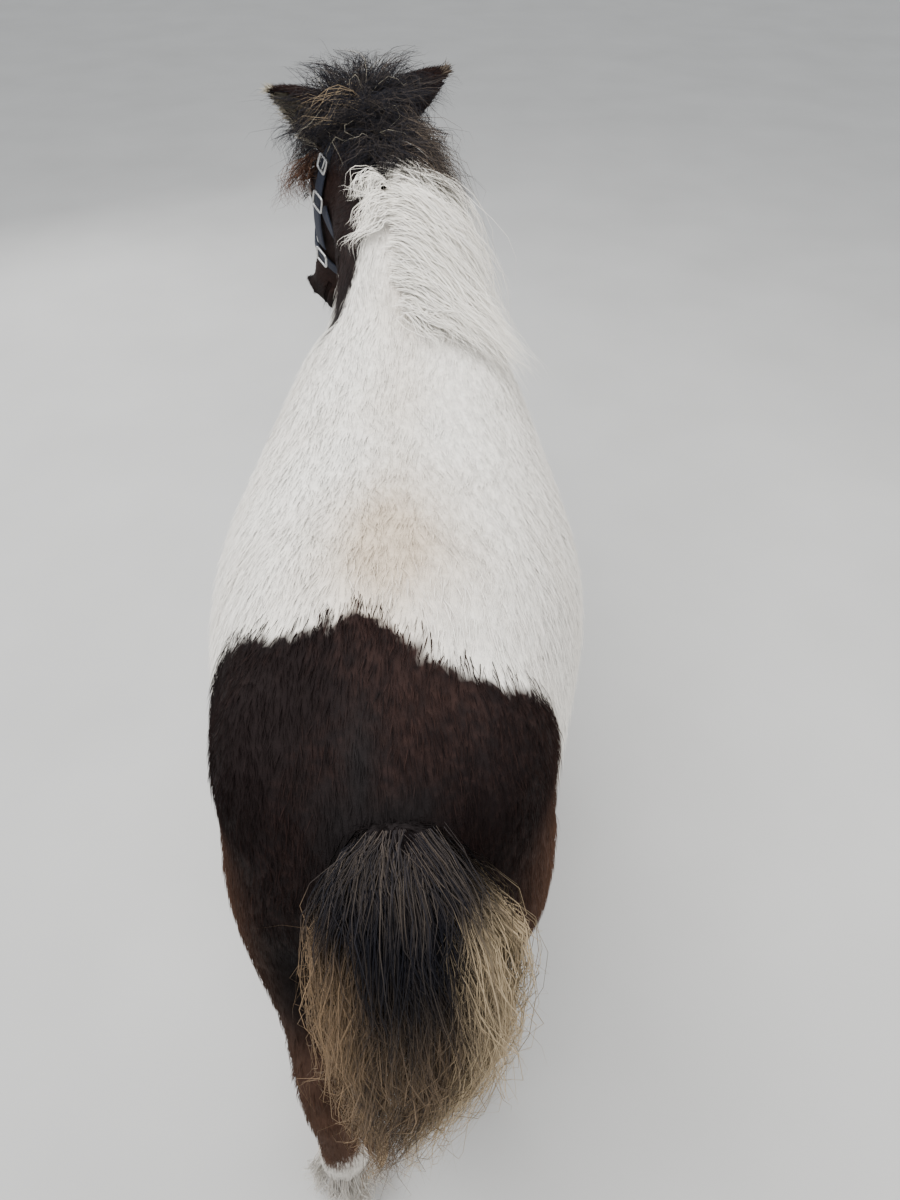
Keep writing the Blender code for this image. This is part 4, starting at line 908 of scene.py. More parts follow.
def make_coat(skin, bare, straps, look):
    """The coat: tufts all over the skin, smallest on the face and the feet."""
    for layer, rows, cover, slant, size in COAT_LAYERS:
        draw = np.random.default_rng(10 + rows)
        points, normals, lengths, widths = scattered(
            skin.data, cover, lambda places: coat_sizes(places, bare), draw
        )
        kept = ~hidden_places(points, bare, straps)
        kept &= draw.uniform(0, 1, len(points)) > 0.62 * head_share(points)
        points, normals, lengths, widths = (values[kept] for values in (points, normals, lengths, widths))
        order = np.argsort(points[:, 1])
        points, normals, lengths, widths = (values[order] for values in (points, normals, lengths, widths))
        ways = lie_of_hair(points, normals, draw)
        lengths = lengths * draw.uniform(0.75, 1.20, len(points)) * size
        widths = widths * draw.uniform(0.75, 1.25, len(points)) / size
        paths, outs = tufts(points, normals, ways, lengths, rows, slant, draw)
        colours = shaded(coat_colours(paths[:, -1], 12), rows, draw)
        spots = unwrapped(points)
        on_head = head_share(points) > 0.5
        for part, chosen, slot in (("body", ~on_head, "white_hair"), ("face", on_head, "dark_hair")):
            data = (values[chosen] for values in (paths, outs, widths))
            name = f"coat_{layer}_{part}"
            add_hairs(name, *data, 0.5, colours[chosen], spots[chosen], look, slot, soft=0.93)


def hidden_places(points, bare, straps):
    """True where no tuft grows: in the mouth, the nostrils and the eyes, on the soles, and under a strap."""
    hidden = points[:, 2] < 0.048
    for place in bare:
        hidden |= np.linalg.norm(points - np.array(place), axis=1) < 0.0175
    on_head = np.flatnonzero(head_share(points) > 0.01)
    for i in on_head:
        if straps.find_nearest(Vector(points[i]), 0.0085)[0] is not None:
            hidden[i] = True
    return hidden


def lay_path(tree, root, way, length, steps, fall, clearance):
    """Where hair lies: it sets out this way, droops under its weight and slides down over the body."""
    points, normals = [root], [tree.find_nearest(root)[1]]
    way = way.normalized()
    for i in range(steps):
        way = (way - UP * fall).normalized()
        spot = points[-1] + way * length / steps
        closest, normal, index, distance = tree.find_nearest(spot)
        needed = clearance * min(1.0, (i + 1) / 3)
        if (spot - closest).dot(normal) < needed:
            spot = closest + normal * needed
        way = (spot - points[-1]).normalized()
        points.append(spot)
        normals.append(normal)
    return points, normals


def strands(guides, each, spread, depth, curl, draw):
    """Hairs round each guide, wide at its root and closer at its tip, which wave together and a little alone."""
    paths = np.array([[tuple(point) for point in points] for points, normals in guides])
    outs = unit(np.array([[tuple(normal) for normal in normals] for points, normals in guides]))
    locks = len(paths)
    paths, outs = np.repeat(paths, each, axis=0), np.repeat(outs, each, axis=0)
    count, rows = paths.shape[:2]
    side = unit(np.cross(np.gradient(paths, axis=1), outs))
    share = np.linspace(0, 1, rows)[None, :, None]
    across = draw.normal(size=(count, 1, 1)) * spread * (1 - 0.45 * share)
    above = np.abs(draw.normal(size=(count, 1, 1))) * depth * np.sin(math.pi * np.clip(share + 0.12, 0, 0.8))
    wave = np.zeros_like(paths)
    for turns in WAVE_TURNS:
        phase = np.repeat(draw.uniform(0, 2 * math.pi, (locks, 1, 2)), each, axis=0)
        phase = phase + draw.normal(size=(count, 1, 2)) * OWN_WAVE
        size = np.repeat(draw.normal(size=(locks, 1, 2)), each, axis=0) + draw.normal(size=(count, 1, 2)) * OWN_WAVE
        swing = np.sin(2 * math.pi * turns * share + phase) * size * curl / turns * share
        wave += side * swing[:, :, :1] + outs * swing[:, :, 1:]
    start = paths[:, :1]
    reach = draw.uniform(0.80, 1.06, (count, 1, 1))
    paths = start + (paths - start) * reach + side * across + outs * above + wave
    return paths, outs


def bent(paths, axis, limit):
    """Bends hair over so that it stays below a limit along one axis."""
    beyond = np.maximum(0, paths[:, :, axis] - limit + BEND)
    paths[:, :, axis] += BEND * np.tanh(beyond / BEND) - beyond


def mane_root(share):
    """A place on the crest, from the poll to the withers."""
    rows = smooth_rows(NECK, 12)
    row = rows[round((1 - share) * (len(rows) - 1) + share * (len(rows) - 1) * 0.14)]
    return at(row[0], row[1], row[4])


def make_mane(tree, look):
    """The mane, falling from the crest down the right of the neck, with some hair spilling to the left of the poll."""
    draw = np.random.default_rng(21)
    guides, starts = [], []
    for i in range(190):
        share = (i + draw.uniform(0.0, 1.0)) / 190
        thin = max(0.0, share - 0.72) / 0.28
        if draw.uniform() < 0.65 * thin:
            continue
        aside = draw.normal() * 0.011 + 0.002 - 0.010 * thin
        root = tree.find_nearest(mane_root(share) + UP * 0.05 + LEFT * aside)[0]
        way = -LEFT * draw.uniform(0.5, 1.0) + UP * draw.uniform(0.05, 0.40) - FORWARD * draw.uniform(0.0, 0.75)
        full = math.sin(math.pi * (0.12 + 0.78 * share**1.25)) * (1 - 0.8 * max(0, share - 0.85) / 0.15)
        length = (0.060 + 0.205 * full) * draw.uniform(0.72, 1.15)
        lift = draw.uniform(0.002, 0.004 + 0.013 * full * (1 - thin))
        guides.append(lay_path(tree, root - UP * 0.006, way, length, 9, 0.32, lift))
        starts.append(share)
    for i in range(11):
        share = draw.uniform(0.27, 0.62)
        root = tree.find_nearest(mane_root(share) + UP * 0.05 + LEFT * 0.020)[0]
        way = LEFT * draw.uniform(0.3, 1.0) + UP * 0.2 - FORWARD * draw.uniform(0.2, 0.9)
        guides.append(lay_path(tree, root - UP * 0.006, way, draw.uniform(0.05, 0.095), 9, 0.28, 0.004))
        starts.append(share)
    each = 17
    paths, outs = strands(guides, each, 0.0095, 0.005, 0.008, draw)
    share = np.repeat(starts, each)
    tone = draw.uniform(0, 1, len(share))
    colours = mix(CREAM, STRAW, np.clip(0.05 + 0.40 * tone**2, 0, 1))
    dark = 1 - ramp(share + draw.normal(size=len(share)) * 0.035, *MANE_DARK)
    colours = mix(colours, mix(GREY_BLACK, GRIZZLE, 0.8 * tone**2), dark)
    spots = np.stack([0.03 + 0.94 * share, 0.03 + 0.94 * draw.uniform(0, 1, len(share))], axis=1)
    widths = draw.uniform(0.0008, 0.0016, len(share))
    own = shaded(colours, 10, draw, 0.8, 0.10)
    add_hairs("mane", paths, outs, widths, 0.7, own, spots, look, "white_hair", soft=0.75)


def make_forelock(tree, look):
    """The thick, standing hair of the poll and the nape, the forelock, and the redder tuft below the left ear."""
    draw = np.random.default_rng(31)
    guides, kinds = [], []
    for i in range(210):
        turn, out = draw.uniform(-math.pi, math.pi), math.sqrt(draw.uniform(0, 1))
        offset = (HEAD_ALONG * math.cos(turn) * 0.050 + HEAD_LEFT * math.sin(turn) * 0.060) * out
        root, normal = tree.find_nearest(in_head(-0.014, 0.050, 0.016) + offset)[:2]
        aside = Vector((offset.x, offset.y, 0)).normalized() * out
        lean = LEFT * draw.normal() * 0.35 + FORWARD * draw.normal() * 0.35
        aside.x *= 0.8 if aside.x > 0 else 1.0
        way = aside * 0.9 + lean + UP * (1.5 - 0.9 * out) * draw.uniform(0.65, 1.1)
        length = (0.078 + 0.045 * out) * draw.uniform(0.8, 1.15)
        guides.append(lay_path(tree, root - normal * 0.005, way, length, 7, 0.20, draw.uniform(0.006, 0.034)))
        kinds.append(0)
    for i in range(50):
        turn = draw.uniform(-1.1, 1.1)
        root, normal = tree.find_nearest(in_head(0.010, 0.050, 0.05 * math.sin(turn)))[:2]
        way = HEAD_ALONG * math.cos(turn) + HEAD_LEFT * math.sin(turn) * 0.7 + normal * draw.uniform(0.3, 0.8)
        length = draw.uniform(0.11, 0.17)
        guides.append(lay_path(tree, root - normal * 0.005, way, length, 7, 0.24, draw.uniform(0.005, 0.026)))
        kinds.append(0)
    for i in range(120):
        aside = draw.normal() * 0.034
        root, normal = tree.find_nearest(mane_root(draw.uniform(0.0, 0.30)) + UP * 0.05 + LEFT * aside)[:2]
        way = normal * draw.uniform(0.4, 0.9) - FORWARD * draw.uniform(0.2, 0.8) + LEFT * (draw.normal() * 0.4 + aside * 8)
        length = draw.uniform(0.045, 0.080)
        guides.append(lay_path(tree, root - normal * 0.005, way, length, 7, 0.24, draw.uniform(0.004, 0.015)))
        kinds.append(0)
    for i in range(70):
        root, normal = tree.find_nearest(mane_root(draw.uniform(0.0, 0.27)) + UP * 0.05 - LEFT * 0.010)[:2]
        way = -LEFT * draw.uniform(0.7, 1.0) + UP * draw.uniform(0.1, 0.5) - FORWARD * draw.uniform(0.1, 0.9)
        length = draw.uniform(0.10, 0.175)
        guides.append(lay_path(tree, root - normal * 0.005, way, length, 7, 0.34, draw.uniform(0.008, 0.020)))
        kinds.append(3)
    for i in range(3):
        root = tree.find_nearest(mane_root(0.03 * i) + UP * 0.05 - LEFT * 0.010)[0]
        way = LEFT + UP * draw.uniform(0.45, 0.7) - FORWARD * draw.uniform(0.2, 0.5)
        guides.append(lay_path(tree, root, way, draw.uniform(0.11, 0.14), 7, 0.26, 0.040))
        kinds.append(2)
    for i in range(10):
        root, normal = tree.find_nearest(in_head(0.050 + 0.004 * i, 0.040, 0.075))[:2]
        way = HEAD_LEFT * 1.1 + HEAD_ALONG * draw.uniform(0.1, 0.6) + HEAD_UP * 0.3
        guides.append(lay_path(tree, root - normal * 0.005, way, draw.uniform(0.07, 0.10), 7, 0.30, 0.008))
        kinds.append(1)
    each = 12
    paths, outs = strands(guides, each, 0.0095, 0.008, 0.012, draw)
    bent(paths, 2, POLL_TOP)
    count = len(paths)
    tone, kind = draw.uniform(0, 1, count), np.repeat(kinds, each)
    colours = mix(GREY_BLACK, GRIZZLE, 0.45 * tone**4)
    colours = mix(colours, STRAW, (draw.uniform(0, 1, count) < 0.004) * 0.4)
    colours = mix(colours, mix(RED_BROWN, THIGH_BROWN, 1.6 * tone), kind == 1)
    colours = mix(colours, mix(TAN, BLOND, tone), (kind == 2) * (tone > 0.55) * 0.5)
    colours = mix(colours, mix(GREY_BLACK, GRIZZLE, 0.9 * tone), kind == 3)
    spots = 0.03 + 0.94 * draw.uniform(0, 1, (count, 2))
    widths = draw.uniform(0.0008, 0.0015, count)
    own = shaded(colours, 8, draw, 0.75, 0.2)
    add_hairs("forelock", paths, outs, widths, 0.7, own, spots, look, "dark_hair", soft=0.6)


def foot_place(name):
    """The middle of a hoof's sole on the floor."""
    forward, up, left, long, wide = leg_rows(name)[-1]
    return forward, left


# How far round each fetlock its long hair grows, from the back to each side, in radians.
FEATHER_SWEEP = {"leg_front_left": 2.1, "leg_front_right": 2.1, "leg_hind_left": 1.15, "leg_hind_right": 1.9}


def make_feathers(tree, name, look):
    """Long hair from the back and the sides of a fetlock, round the heels and the top of the hoof."""
    draw = np.random.default_rng(41 + list(LEGS).index(name))
    forward, left = foot_place(name)
    guides = []
    reach_round = FEATHER_SWEEP[name]
    for i in range(round(23 * reach_round)):
        turn = draw.uniform(-1, 1) * reach_round
        out = LEFT * math.sin(turn) - FORWARD * math.cos(turn)
        start = at(forward - 0.018, draw.uniform(0.075, 0.122), left)
        root = tree.ray_cast(start + out * 0.12, -out)[0]
        length = min(draw.uniform(0.055, 0.095) * (0.70 + 0.30 * math.cos(turn)), root.z - 0.008)
        guides.append(lay_path(tree, root - out * 0.006, out * 0.6 - UP, length, 6, 0.30, draw.uniform(0.003, 0.012)))
    paths, outs = strands(guides, 16, 0.0050, 0.004, 0.006, draw)
    paths[:, :, 2] = np.maximum(paths[:, :, 2], 0.002)
    colours = mix(CREAM, GREYED_BEIGE, np.clip(0.25 + 0.35 * draw.uniform(0, 1, len(paths)), 0, 1))
    spots = unwrapped(paths[:, 0])
    widths = draw.uniform(0.0009, 0.0018, len(paths))
    add_hairs(f"feather_{name}", paths, outs, widths, 0.7, shaded(colours, 7, draw, 0.7, 0.1), spots, look, "white_hair")


TAIL_ROWS = smooth_rows(TAIL, 6)
TAIL_WIDEST = 0.172
TAIL_WIDEST_UP = 0.74
# Tiers of the tail's hair: where they start down it, how many guides they have, and how far out they lie.
TAIL_TIERS = ((0.12, 50, 0.92), (0.17, 54, 1.0), (0.25, 54, 1.0), (0.36, 50, 1.0), (0.48, 42, 0.98), (0.60, 24, 0.95))


def tail_frame(share):
    """The tail's middle, its sideways and backward directions and its half sizes, this far down it."""
    step = share * (len(TAIL_ROWS) - 1)
    i = min(len(TAIL_ROWS) - 2, int(step))
    row = TAIL_ROWS[i] + (TAIL_ROWS[i + 1] - TAIL_ROWS[i]) * (step - i)
    down = (at(*TAIL_ROWS[i + 1][:3]) - at(*TAIL_ROWS[i][:3])).normalized()
    return at(*row[:3]), LEFT, LEFT.cross(down).normalized(), row[3] / 2, row[4] / 2


def tail_path(start, end, turn, fullness, steps):
    """A lock's path down the tail, this way round from its middle."""
    points, normals = [], []
    for i in range(steps + 1):
        share = start + (end - start) * i / steps
        middle, side, back, wide, deep = tail_frame(share)
        reach = fullness * (0.60 + 0.40 * math.sin(math.pi * min(0.5, 1.4 * i / steps)))
        out = side * math.sin(turn) * wide + back * math.cos(turn) * deep
        arch = UP * 0.008 * math.sin(math.pi * min(1.0, 2.2 * i / steps))
        points.append(middle + out * reach + arch)
        normals.append((side * math.sin(turn) / wide + back * math.cos(turn) / deep).normalized())
    return points, normals


def tail_colours(paths, tones):
    """Black down the middle with a few pale hairs, blond at the right, tan at the left and brown towards its end."""
    forward, up, left = body_places(paths.reshape(-1, 3))
    shape = paths.shape[:2]
    rows = TAIL_ROWS[::-1]
    middle, wide = (np.interp(up, rows[:, 1], rows[:, column]) for column in (2, 3))
    wide = np.where(up > TAIL_WIDEST_UP, TAIL_WIDEST, wide)
    aside = ((left - middle) / np.maximum(wide / 2, 0.02)).reshape(shape)
    down = np.clip((0.85 - up) / 0.57, 0, 1).reshape(shape)
    tones = tones[:, None]
    grey = 0.22 * tones**4 + 0.34 * tones * (1 - ramp(down, 0.005, 0.05))
    colours = mix(np.tile(GREY_BLACK, (*shape, 1)), GRIZZLE, grey)
    lower = ramp(down + 0.10 * np.abs(aside), 0.12, 0.46) * (0.12 + 0.80 * tones)
    colours = mix(colours, mix(GRIZZLE, TAN, 0.7), np.clip(lower, 0, 0.9))
    tan = ramp(aside + 0.25 * tones, 0.50, 1.05) * ramp(down, 0.06, 0.16) * (0.30 + 0.55 * tones)
    colours = mix(colours, TAN, np.clip(tan, 0, 0.9))
    blond = ramp(-aside + 0.25 * tones, 0.48, 0.95) * ramp(down, 0.03, 0.10) * (0.50 + 0.75 * tones)
    return mix(colours, BLOND, np.clip(blond, 0, 0.97))


def make_tail(look):
    """The dock with its short black hair, and the thick tail round it that is bleached at its sides."""
    draw = np.random.default_rng(51)
    bm = bmesh.new()
    sections = []
    for share in np.linspace(0.0, 0.42, 15):
        middle, side, back, wide, deep = tail_frame(share)
        part = 0.80 - 0.45 * share / 0.42
        sink = 0.010 + 0.020 * max(0.0, 1 - share / 0.12)
        sections.append((middle - UP * sink, side, back, wide * part, deep * part, deep * part))
    add_loft(bm, sections, ring=32, power=2)
    dock = object_from("tail_dock", bm)
    applied(dock, "TRIANGULATE")
    dock.data.shade_smooth()
    tint(dock.data, np.tile(BLACK, (len(dock.data.vertices), 1)))
    dress(dock, look)
    places, normals, lengths, widths = scattered(dock.data, 3.6, lambda rows: [np.full(len(rows), v) for v in DOCK_HAIR], draw)
    ways = np.array(-UP - FORWARD * 0.4) + draw.normal(size=places.shape) * 0.15
    ways = unit(ways - normals * np.sum(ways * normals, axis=1, keepdims=True))
    paths, outs = tufts(places, normals, ways, lengths * draw.uniform(0.7, 1.2, len(places)), 3, 14, draw)
    own = shaded(mix(BLACK, DARK, draw.uniform(0, 1, len(places))) * 0.6, 3, draw)
    spots = 0.03 + 0.94 * draw.uniform(0, 1, (len(places), 2))
    add_hairs("tail_dock_fur", paths, outs, widths, 0.5, own, spots, look, "tail_hair", soft=0.6)

    guides, turns = [], []
    for start, count, fullness in TAIL_TIERS:
        for i in range(count):
            turn = 2 * math.pi * (i + draw.uniform(0, 1)) / count
            full = fullness * draw.uniform(0.60, 1.06)
            begin = start + draw.uniform(0, 0.07)
            guides.append(tail_path(begin, min(1.0, begin + draw.uniform(0.24, 0.46)), turn, full, 7))
            turns.append(turn)
    each = 20
    paths, outs = strands(guides, each, 0.0095, 0.006, 0.013, draw)
    bent(paths, 1, TAIL_BACK)
    turn = np.repeat(turns, each)
    colours = tail_colours(paths, draw.uniform(0, 1, len(paths)))
    colours = np.clip(colours * (1 + draw.normal(size=(len(paths), 1, 1)) * 0.14), 0.002, 0.9)
    spots = np.stack([0.03 + 0.94 * turn / (2 * math.pi), 0.03 + 0.94 * draw.uniform(0, 1, len(turn))], axis=1)
    widths = draw.uniform(0.0006, 0.0012, len(paths))
    add_hairs("tail_hair", paths, outs, widths, 0.7, colours, spots, look, "tail_hair", ("tail",), soft=0.6)


def ear_shape(side):
    root = in_head(*EAR_ROOT[side])
    stem = Vector(EAR_STEM[side]).normalized()
    opening = Vector(EAR_OPENING[side])
    opening = (opening - stem * opening.dot(stem)).normalized()
    return root, stem, opening, stem.cross(opening)


def make_ear(word, side, skin_look, hair_look):
    """A pointed cup of skin, open to its front, furred outside and with long soft hair inside."""
    root, stem, opening, across = ear_shape(side)
    rows, columns = 26, 22
    bm = bmesh.new()
    grid = []
    for i in range(rows + 1):
        t = i / rows
        width = EAR_BREADTH[side] * (math.sin(math.pi * (0.16 + 0.84 * t) ** 0.80) ** 0.72) * (1 - 0.15 * t)
        width = max(width, 0.0012)
        sweep = math.radians(150 - 75 * t)
        middle = root + stem * (EAR_LENGTH + EAR_SINK) * (t - EAR_SINK / EAR_LENGTH) + opening * 0.012 * t * t
        row = []
        for k in range(columns + 1):
            turn = sweep * (2 * k / columns - 1)
            out = -opening * math.cos(turn) + across * math.sin(turn)
            row.append(bm.verts.new(middle + out * width))
        grid.append(row)
    for low, high in zip(grid, grid[1:]):
        for k in range(columns):
            bm.faces.new((low[k], low[k + 1], high[k + 1], high[k]))
    ear = object_from(f"ear_skin_{word}", bm)
    applied(ear, "SOLIDIFY", thickness=0.0036, offset=0.0)
    applied(ear, "TRIANGULATE")
    ear.data.shade_smooth()

    points, normals = points_of(ear.data), normals_of(ear.data)
    spine = np.array(root) + np.outer((points - np.array(root)) @ np.array(stem), np.array(stem))
    inside = np.sum((points - spine) * normals, axis=1) < 0
    pale = GRIZZLE if side > 0 else DARK
    tint(ear.data, np.where(inside[:, None], mix(DARK, pale, np.full(len(points), 0.5)), np.array(DARK)))
    dress(ear, skin_look, (f"ear_{word}",))

    draw = np.random.default_rng(61 + side)
    sizes = (0.0115, 0.0016)
    places, outs, lengths, widths = scattered(
        ear.data, 5.5, lambda rows: [np.full(len(rows), size) for size in sizes], draw
    )
    height = (places - np.array(root)) @ np.array(stem)
    kept = height > 0.004
    places, outs, lengths, widths = places[kept], outs[kept], lengths[kept], widths[kept]
    spine = np.array(root) + np.outer((places - np.array(root)) @ np.array(stem), np.array(stem))
    inside = np.sum((places - spine) * outs, axis=1) < 0
    ways = np.array(stem) + np.where(inside, 0.5, 0.0)[:, None] * np.array(opening) + draw.normal(size=places.shape) * 0.22
    ways = unit(ways - outs * np.sum(ways * outs, axis=1, keepdims=True))
    lengths = lengths * np.where(inside, 1.7, 1.0) * draw.uniform(0.7, 1.2, len(lengths))
    paths, normals = tufts(places, outs, ways, lengths, 3, 24, draw)
    tone = draw.uniform(0, 1, len(places))
    lining = mix(GRIZZLE, STRAW, 0.35 + 0.5 * tone) if side > 0 else mix(DARK, GRIZZLE, tone)
    colours = np.where(inside[:, None], lining, mix(DARK, RED_BROWN, 0.6 * tone))
    own = shaded(colours, 3, draw, 0.6, 0.15)
    spots = np.stack([0.1 + 0.8 * np.clip(height[kept] / 0.12, 0, 1), 0.1 + 0.8 * draw.uniform(0, 1, len(tone))], axis=1)
    add_hairs(f"ear_fur_{word}", paths, normals, widths, 0.5, own, spots, hair_look, "dark_hair")


def make_eye(word, side, tree, look):
    """A dark wet eye with a wide pupil."""
    opening, way, ball = eye_parts(tree, side)
    along, across, out = lid_axes(way)
    bm = bmesh.new()
    place = Matrix.Translation(ball) @ way.to_track_quat("Z", "Y").to_matrix().to_4x4()
    bmesh.ops.create_uvsphere(bm, u_segments=64, v_segments=48, radius=EYE_RADIUS, matrix=place)
    eye = object_from(f"eyeball_{word}", bm)
    eye.data.shade_smooth()
    offsets = points_of(eye.data) - np.array(ball)
    wide, high = offsets @ np.array(along), offsets @ np.array(across)
    front = offsets @ np.array(out) > 0
    pupil = np.sqrt((wide / 0.0062) ** 2 + (high / 0.0042) ** 2)
    iris = np.sqrt(wide**2 + high**2) / 0.0125
    colours = mix((0.004, 0.003, 0.003), (0.050, 0.022, 0.009), ramp(pupil, 0.9, 1.2) * front)
    colours = mix(colours, (0.016, 0.009, 0.007), ramp(iris, 0.82, 1.0))
    tint(eye.data, colours)
    dress(eye, look, (f"eye_{word}",))


def make_lashes(tree, look):
    draw = np.random.default_rng(71)
    guides = []
    for side in (1, -1):
        opening, way, ball = eye_parts(tree, side)
        along, across, out = lid_axes(way)
        for i in range(34):
            turn = math.pi * (0.12 + 0.76 * i / 33)
            root = opening + along * math.cos(turn) * 0.0185 + across * math.sin(turn) * 0.0140 + out * 0.003
            points = []
            for k in range(5):
                t = k / 4
                points.append(root + (out * t + across * (0.25 * t - 0.9 * t * t) + along * math.cos(turn) * 0.4 * t) * 0.015)
            guides.append((points, [across] * 5))
    paths, outs = strands(guides, 2, 0.0007, 0.0003, 0.0008, draw)
    colours = shaded(np.tile(BLACK, (len(paths), 1)), 5, draw)
    spots = 0.1 + 0.8 * draw.uniform(0, 1, (len(paths), 2))
    add_hairs("eyelashes", paths, outs, np.full(len(paths), 0.0007), 1.0, colours, spots, look, "dark_hair")


def make_whiskers(tree, look):
    draw = np.random.default_rng(81)
    guides = []
    for i in range(110):
        side = 1 if i % 2 else -1
        out = (HEAD_LEFT * side * draw.uniform(0.1, 1) + HEAD_ALONG * draw.uniform(0, 1) - HEAD_UP * draw.uniform(-0.1, 1))
        out.normalize()
        start = in_head(draw.uniform(0.30, 0.36), draw.uniform(-0.070, -0.035), 0.02 * side)
        root, normal = tree.ray_cast(start + out * 0.2, -out)[:2]
        length = draw.uniform(0.010, 0.030)
        points = [root - out * 0.003 + (normal * 0.6 + HEAD_ALONG * 0.5 * t) * length * t for t in np.linspace(0, 1, 4)]
        guides.append((points, [HEAD_UP] * 4))
    paths, outs = strands(guides, 1, 0.0005, 0.0003, 0.0015, draw)
    colours = shaded(np.tile(GREY_BLACK, (len(paths), 1)), 4, draw)
    spots = 0.1 + 0.8 * draw.uniform(0, 1, (len(paths), 2))
    add_hairs("whiskers", paths, outs, np.full(len(paths), 0.0006), 1.0, colours, spots, look, "dark_hair")


def make_hoof(name, look):
    """A hoof whose wall is ringed by growth, flat below, with its top along the sloping line of the hair."""
    forward, left = foot_place(name)
    table = smooth_rows(HOOF_ROWS, 8)
    sides, rows = 60, 22
    rings = []
    for i in range(rows + 1):
        t = i / rows
        ripple_out = 0.00035 * math.sin(t * 34) if 0.1 < t < 0.95 else -0.0004
        row = []
        for k in range(sides):
            angle = 2 * math.pi * k / sides
            along = math.cos(angle)
            top = CORONET_BACK + (CORONET_FRONT - CORONET_BACK) * (along + 1) / 2
            up = t * top
            shift, long, wide = (np.interp(up, table[:, 0], table[:, j]) for j in (1, 2, 3))
            heel = 0.86 if along < 0 else 1.0
            grown = 1 + ripple_out / wide
            row.append(at(forward + shift + along * long * heel * grown, up, left + math.sin(angle) * wide * grown))
        rings.append(row)
    bm = bmesh.new()
    add_rings(bm, rings)
    hoof = object_from(name.replace("leg", "hoof_horn"), bm)
    hoof.data.shade_smooth()
    hoof.data.set_sharp_from_angle(angle=math.radians(50))
    dress(hoof, look, (name.replace("leg", "hoof"),))


def taut_line(tree, centre, right, up, span):
    """Where a taut strap lies round the flesh: inner points of five lines side by side, evenly spaced."""
    across = right.cross(up)
    shares = (-0.5, -0.25, 0.0, 0.25, 0.5)
    closed = span[1] - span[0] >= 360
    angles = np.arange(math.radians(span[0]), math.radians(span[1]) + 1e-6, math.radians(2.0))
    reaches = np.zeros((len(angles), 5))
    ways = [right * math.cos(angle) + up * math.sin(angle) for angle in angles]
    for i, out in enumerate(ways):
        for j, share in enumerate(shares):
            origin = centre + across * STRAP_WIDTH * share
            reaches[i, j] = (tree.ray_cast(origin, out)[0] - origin).length - 0.0012
    own = reaches.copy()
    for _ in range(16):
        before, after = np.roll(reaches, 1, axis=0), np.roll(reaches, -1, axis=0)
        if not closed:
            before[0], after[-1] = reaches[0], reaches[-1]
        reaches = np.maximum(own, (before + after) / 2)
    reaches = 0.75 * reaches + 0.25 * reaches.mean(axis=1, keepdims=True)
    rows = []
    for i, out in enumerate(ways[: -1 if closed else None]):
        rows.append([centre + across * STRAP_WIDTH * s + out * reaches[i, j] for j, s in enumerate(shares)])
    return rows, across, closed


def make_strap(name, tree, centre, right, up, span, look):
    """A flat strap of webbing with rounded edges, lying round the flesh in one plane."""
    rows, across, closed = taut_line(tree, centre, right, up, span)
    rings = []
    for i, row in enumerate(rows):
        ahead = rows[(i + 1) % len(rows) if closed else min(i + 1, len(rows) - 1)][2]
        behind = rows[i - 1 if closed or i else 0][2]
        out = (ahead - behind).cross(across).normalized()
        if out.dot(row[2] - centre) < 0:
            out = -out
        edge = out * STRAP_THICKNESS / 2
        bulge = across * STRAP_THICKNESS * 0.35
        outer = [point + out * STRAP_THICKNESS for point in reversed(row)]
        rings.append(row + [row[-1] + edge + bulge] + outer + [row[0] + edge - bulge])
    bm = bmesh.new()
    add_rings(bm, rings, closed=closed)
    strap = object_from(f"{name}_webbing", bm)
    along = np.repeat(np.arange(len(rings)), len(rings[0])) * 0.006
    over = np.tile([*np.linspace(0, 1, 5), 1.0, *np.linspace(1, 0, 5), 0.0], len(rings))
    layer = strap.data.attributes.new("weave", "FLOAT_VECTOR", "POINT")
    values = np.stack([along, over * STRAP_WIDTH, np.zeros(len(along))], axis=1)
    layer.data.foreach_set("vector", values.astype(np.float32).ravel())
    strap.data.shade_smooth()
    strap.data.set_sharp_from_angle(angle=math.radians(60))
    dress(strap, look, (name,))
    return strap


def make_frame(name, look, tongue=False):
    """A square of rounded metal rod, placed as its solid is, with a tongue where it is a buckle."""
    points = points_of(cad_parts[name].data)
    middle = points.mean(axis=0)
    offsets = points - middle
    out = Vector(np.linalg.svd(offsets, full_matrices=False)[2][2])
    far = Vector(offsets[np.argmax(np.linalg.norm(offsets, axis=1))])
    far = (far - out * far.dot(out)).normalized()
    half = max(abs(Vector(offset).dot(far)) for offset in offsets) / math.sqrt(2)
    axis_a = (far + out.cross(far)).normalized()
    axis_b = out.cross(axis_a)
    rod = 0.0021
    bm = bmesh.new()
    rings, count = [], 56
    for i in range(count):
        angle = 2 * math.pi * i / count
        c, s = math.cos(angle), math.sin(angle)
        a, b = (math.copysign(abs(v) ** 0.32, v) * (half - rod) for v in (c, s))
        spoke = (axis_a * c + axis_b * s).normalized()
        centre = Vector(middle) + axis_a * a + axis_b * b
        turned = [2 * math.pi * k / 12 for k in range(12)]
        rings.append([centre + (spoke * math.cos(t) + out * math.sin(t)) * rod for t in turned])
    add_rings(bm, rings, closed=True)
    if tongue:
        reach = [axis_a * (half - rod) * t for t in np.linspace(-1, 1.05, 8)]
        line = [Vector(middle) + step + out * (0.0012 + 0.0016 * math.cos(step.length * 90)) for step in reach]
        add_tube(bm, line, [0.0030] * 8, [out] * 8, ring=10)
    thing = object_from(f"{name}_metal", bm)
    thing.data.shade_smooth()
    dress(thing, look, (name,))


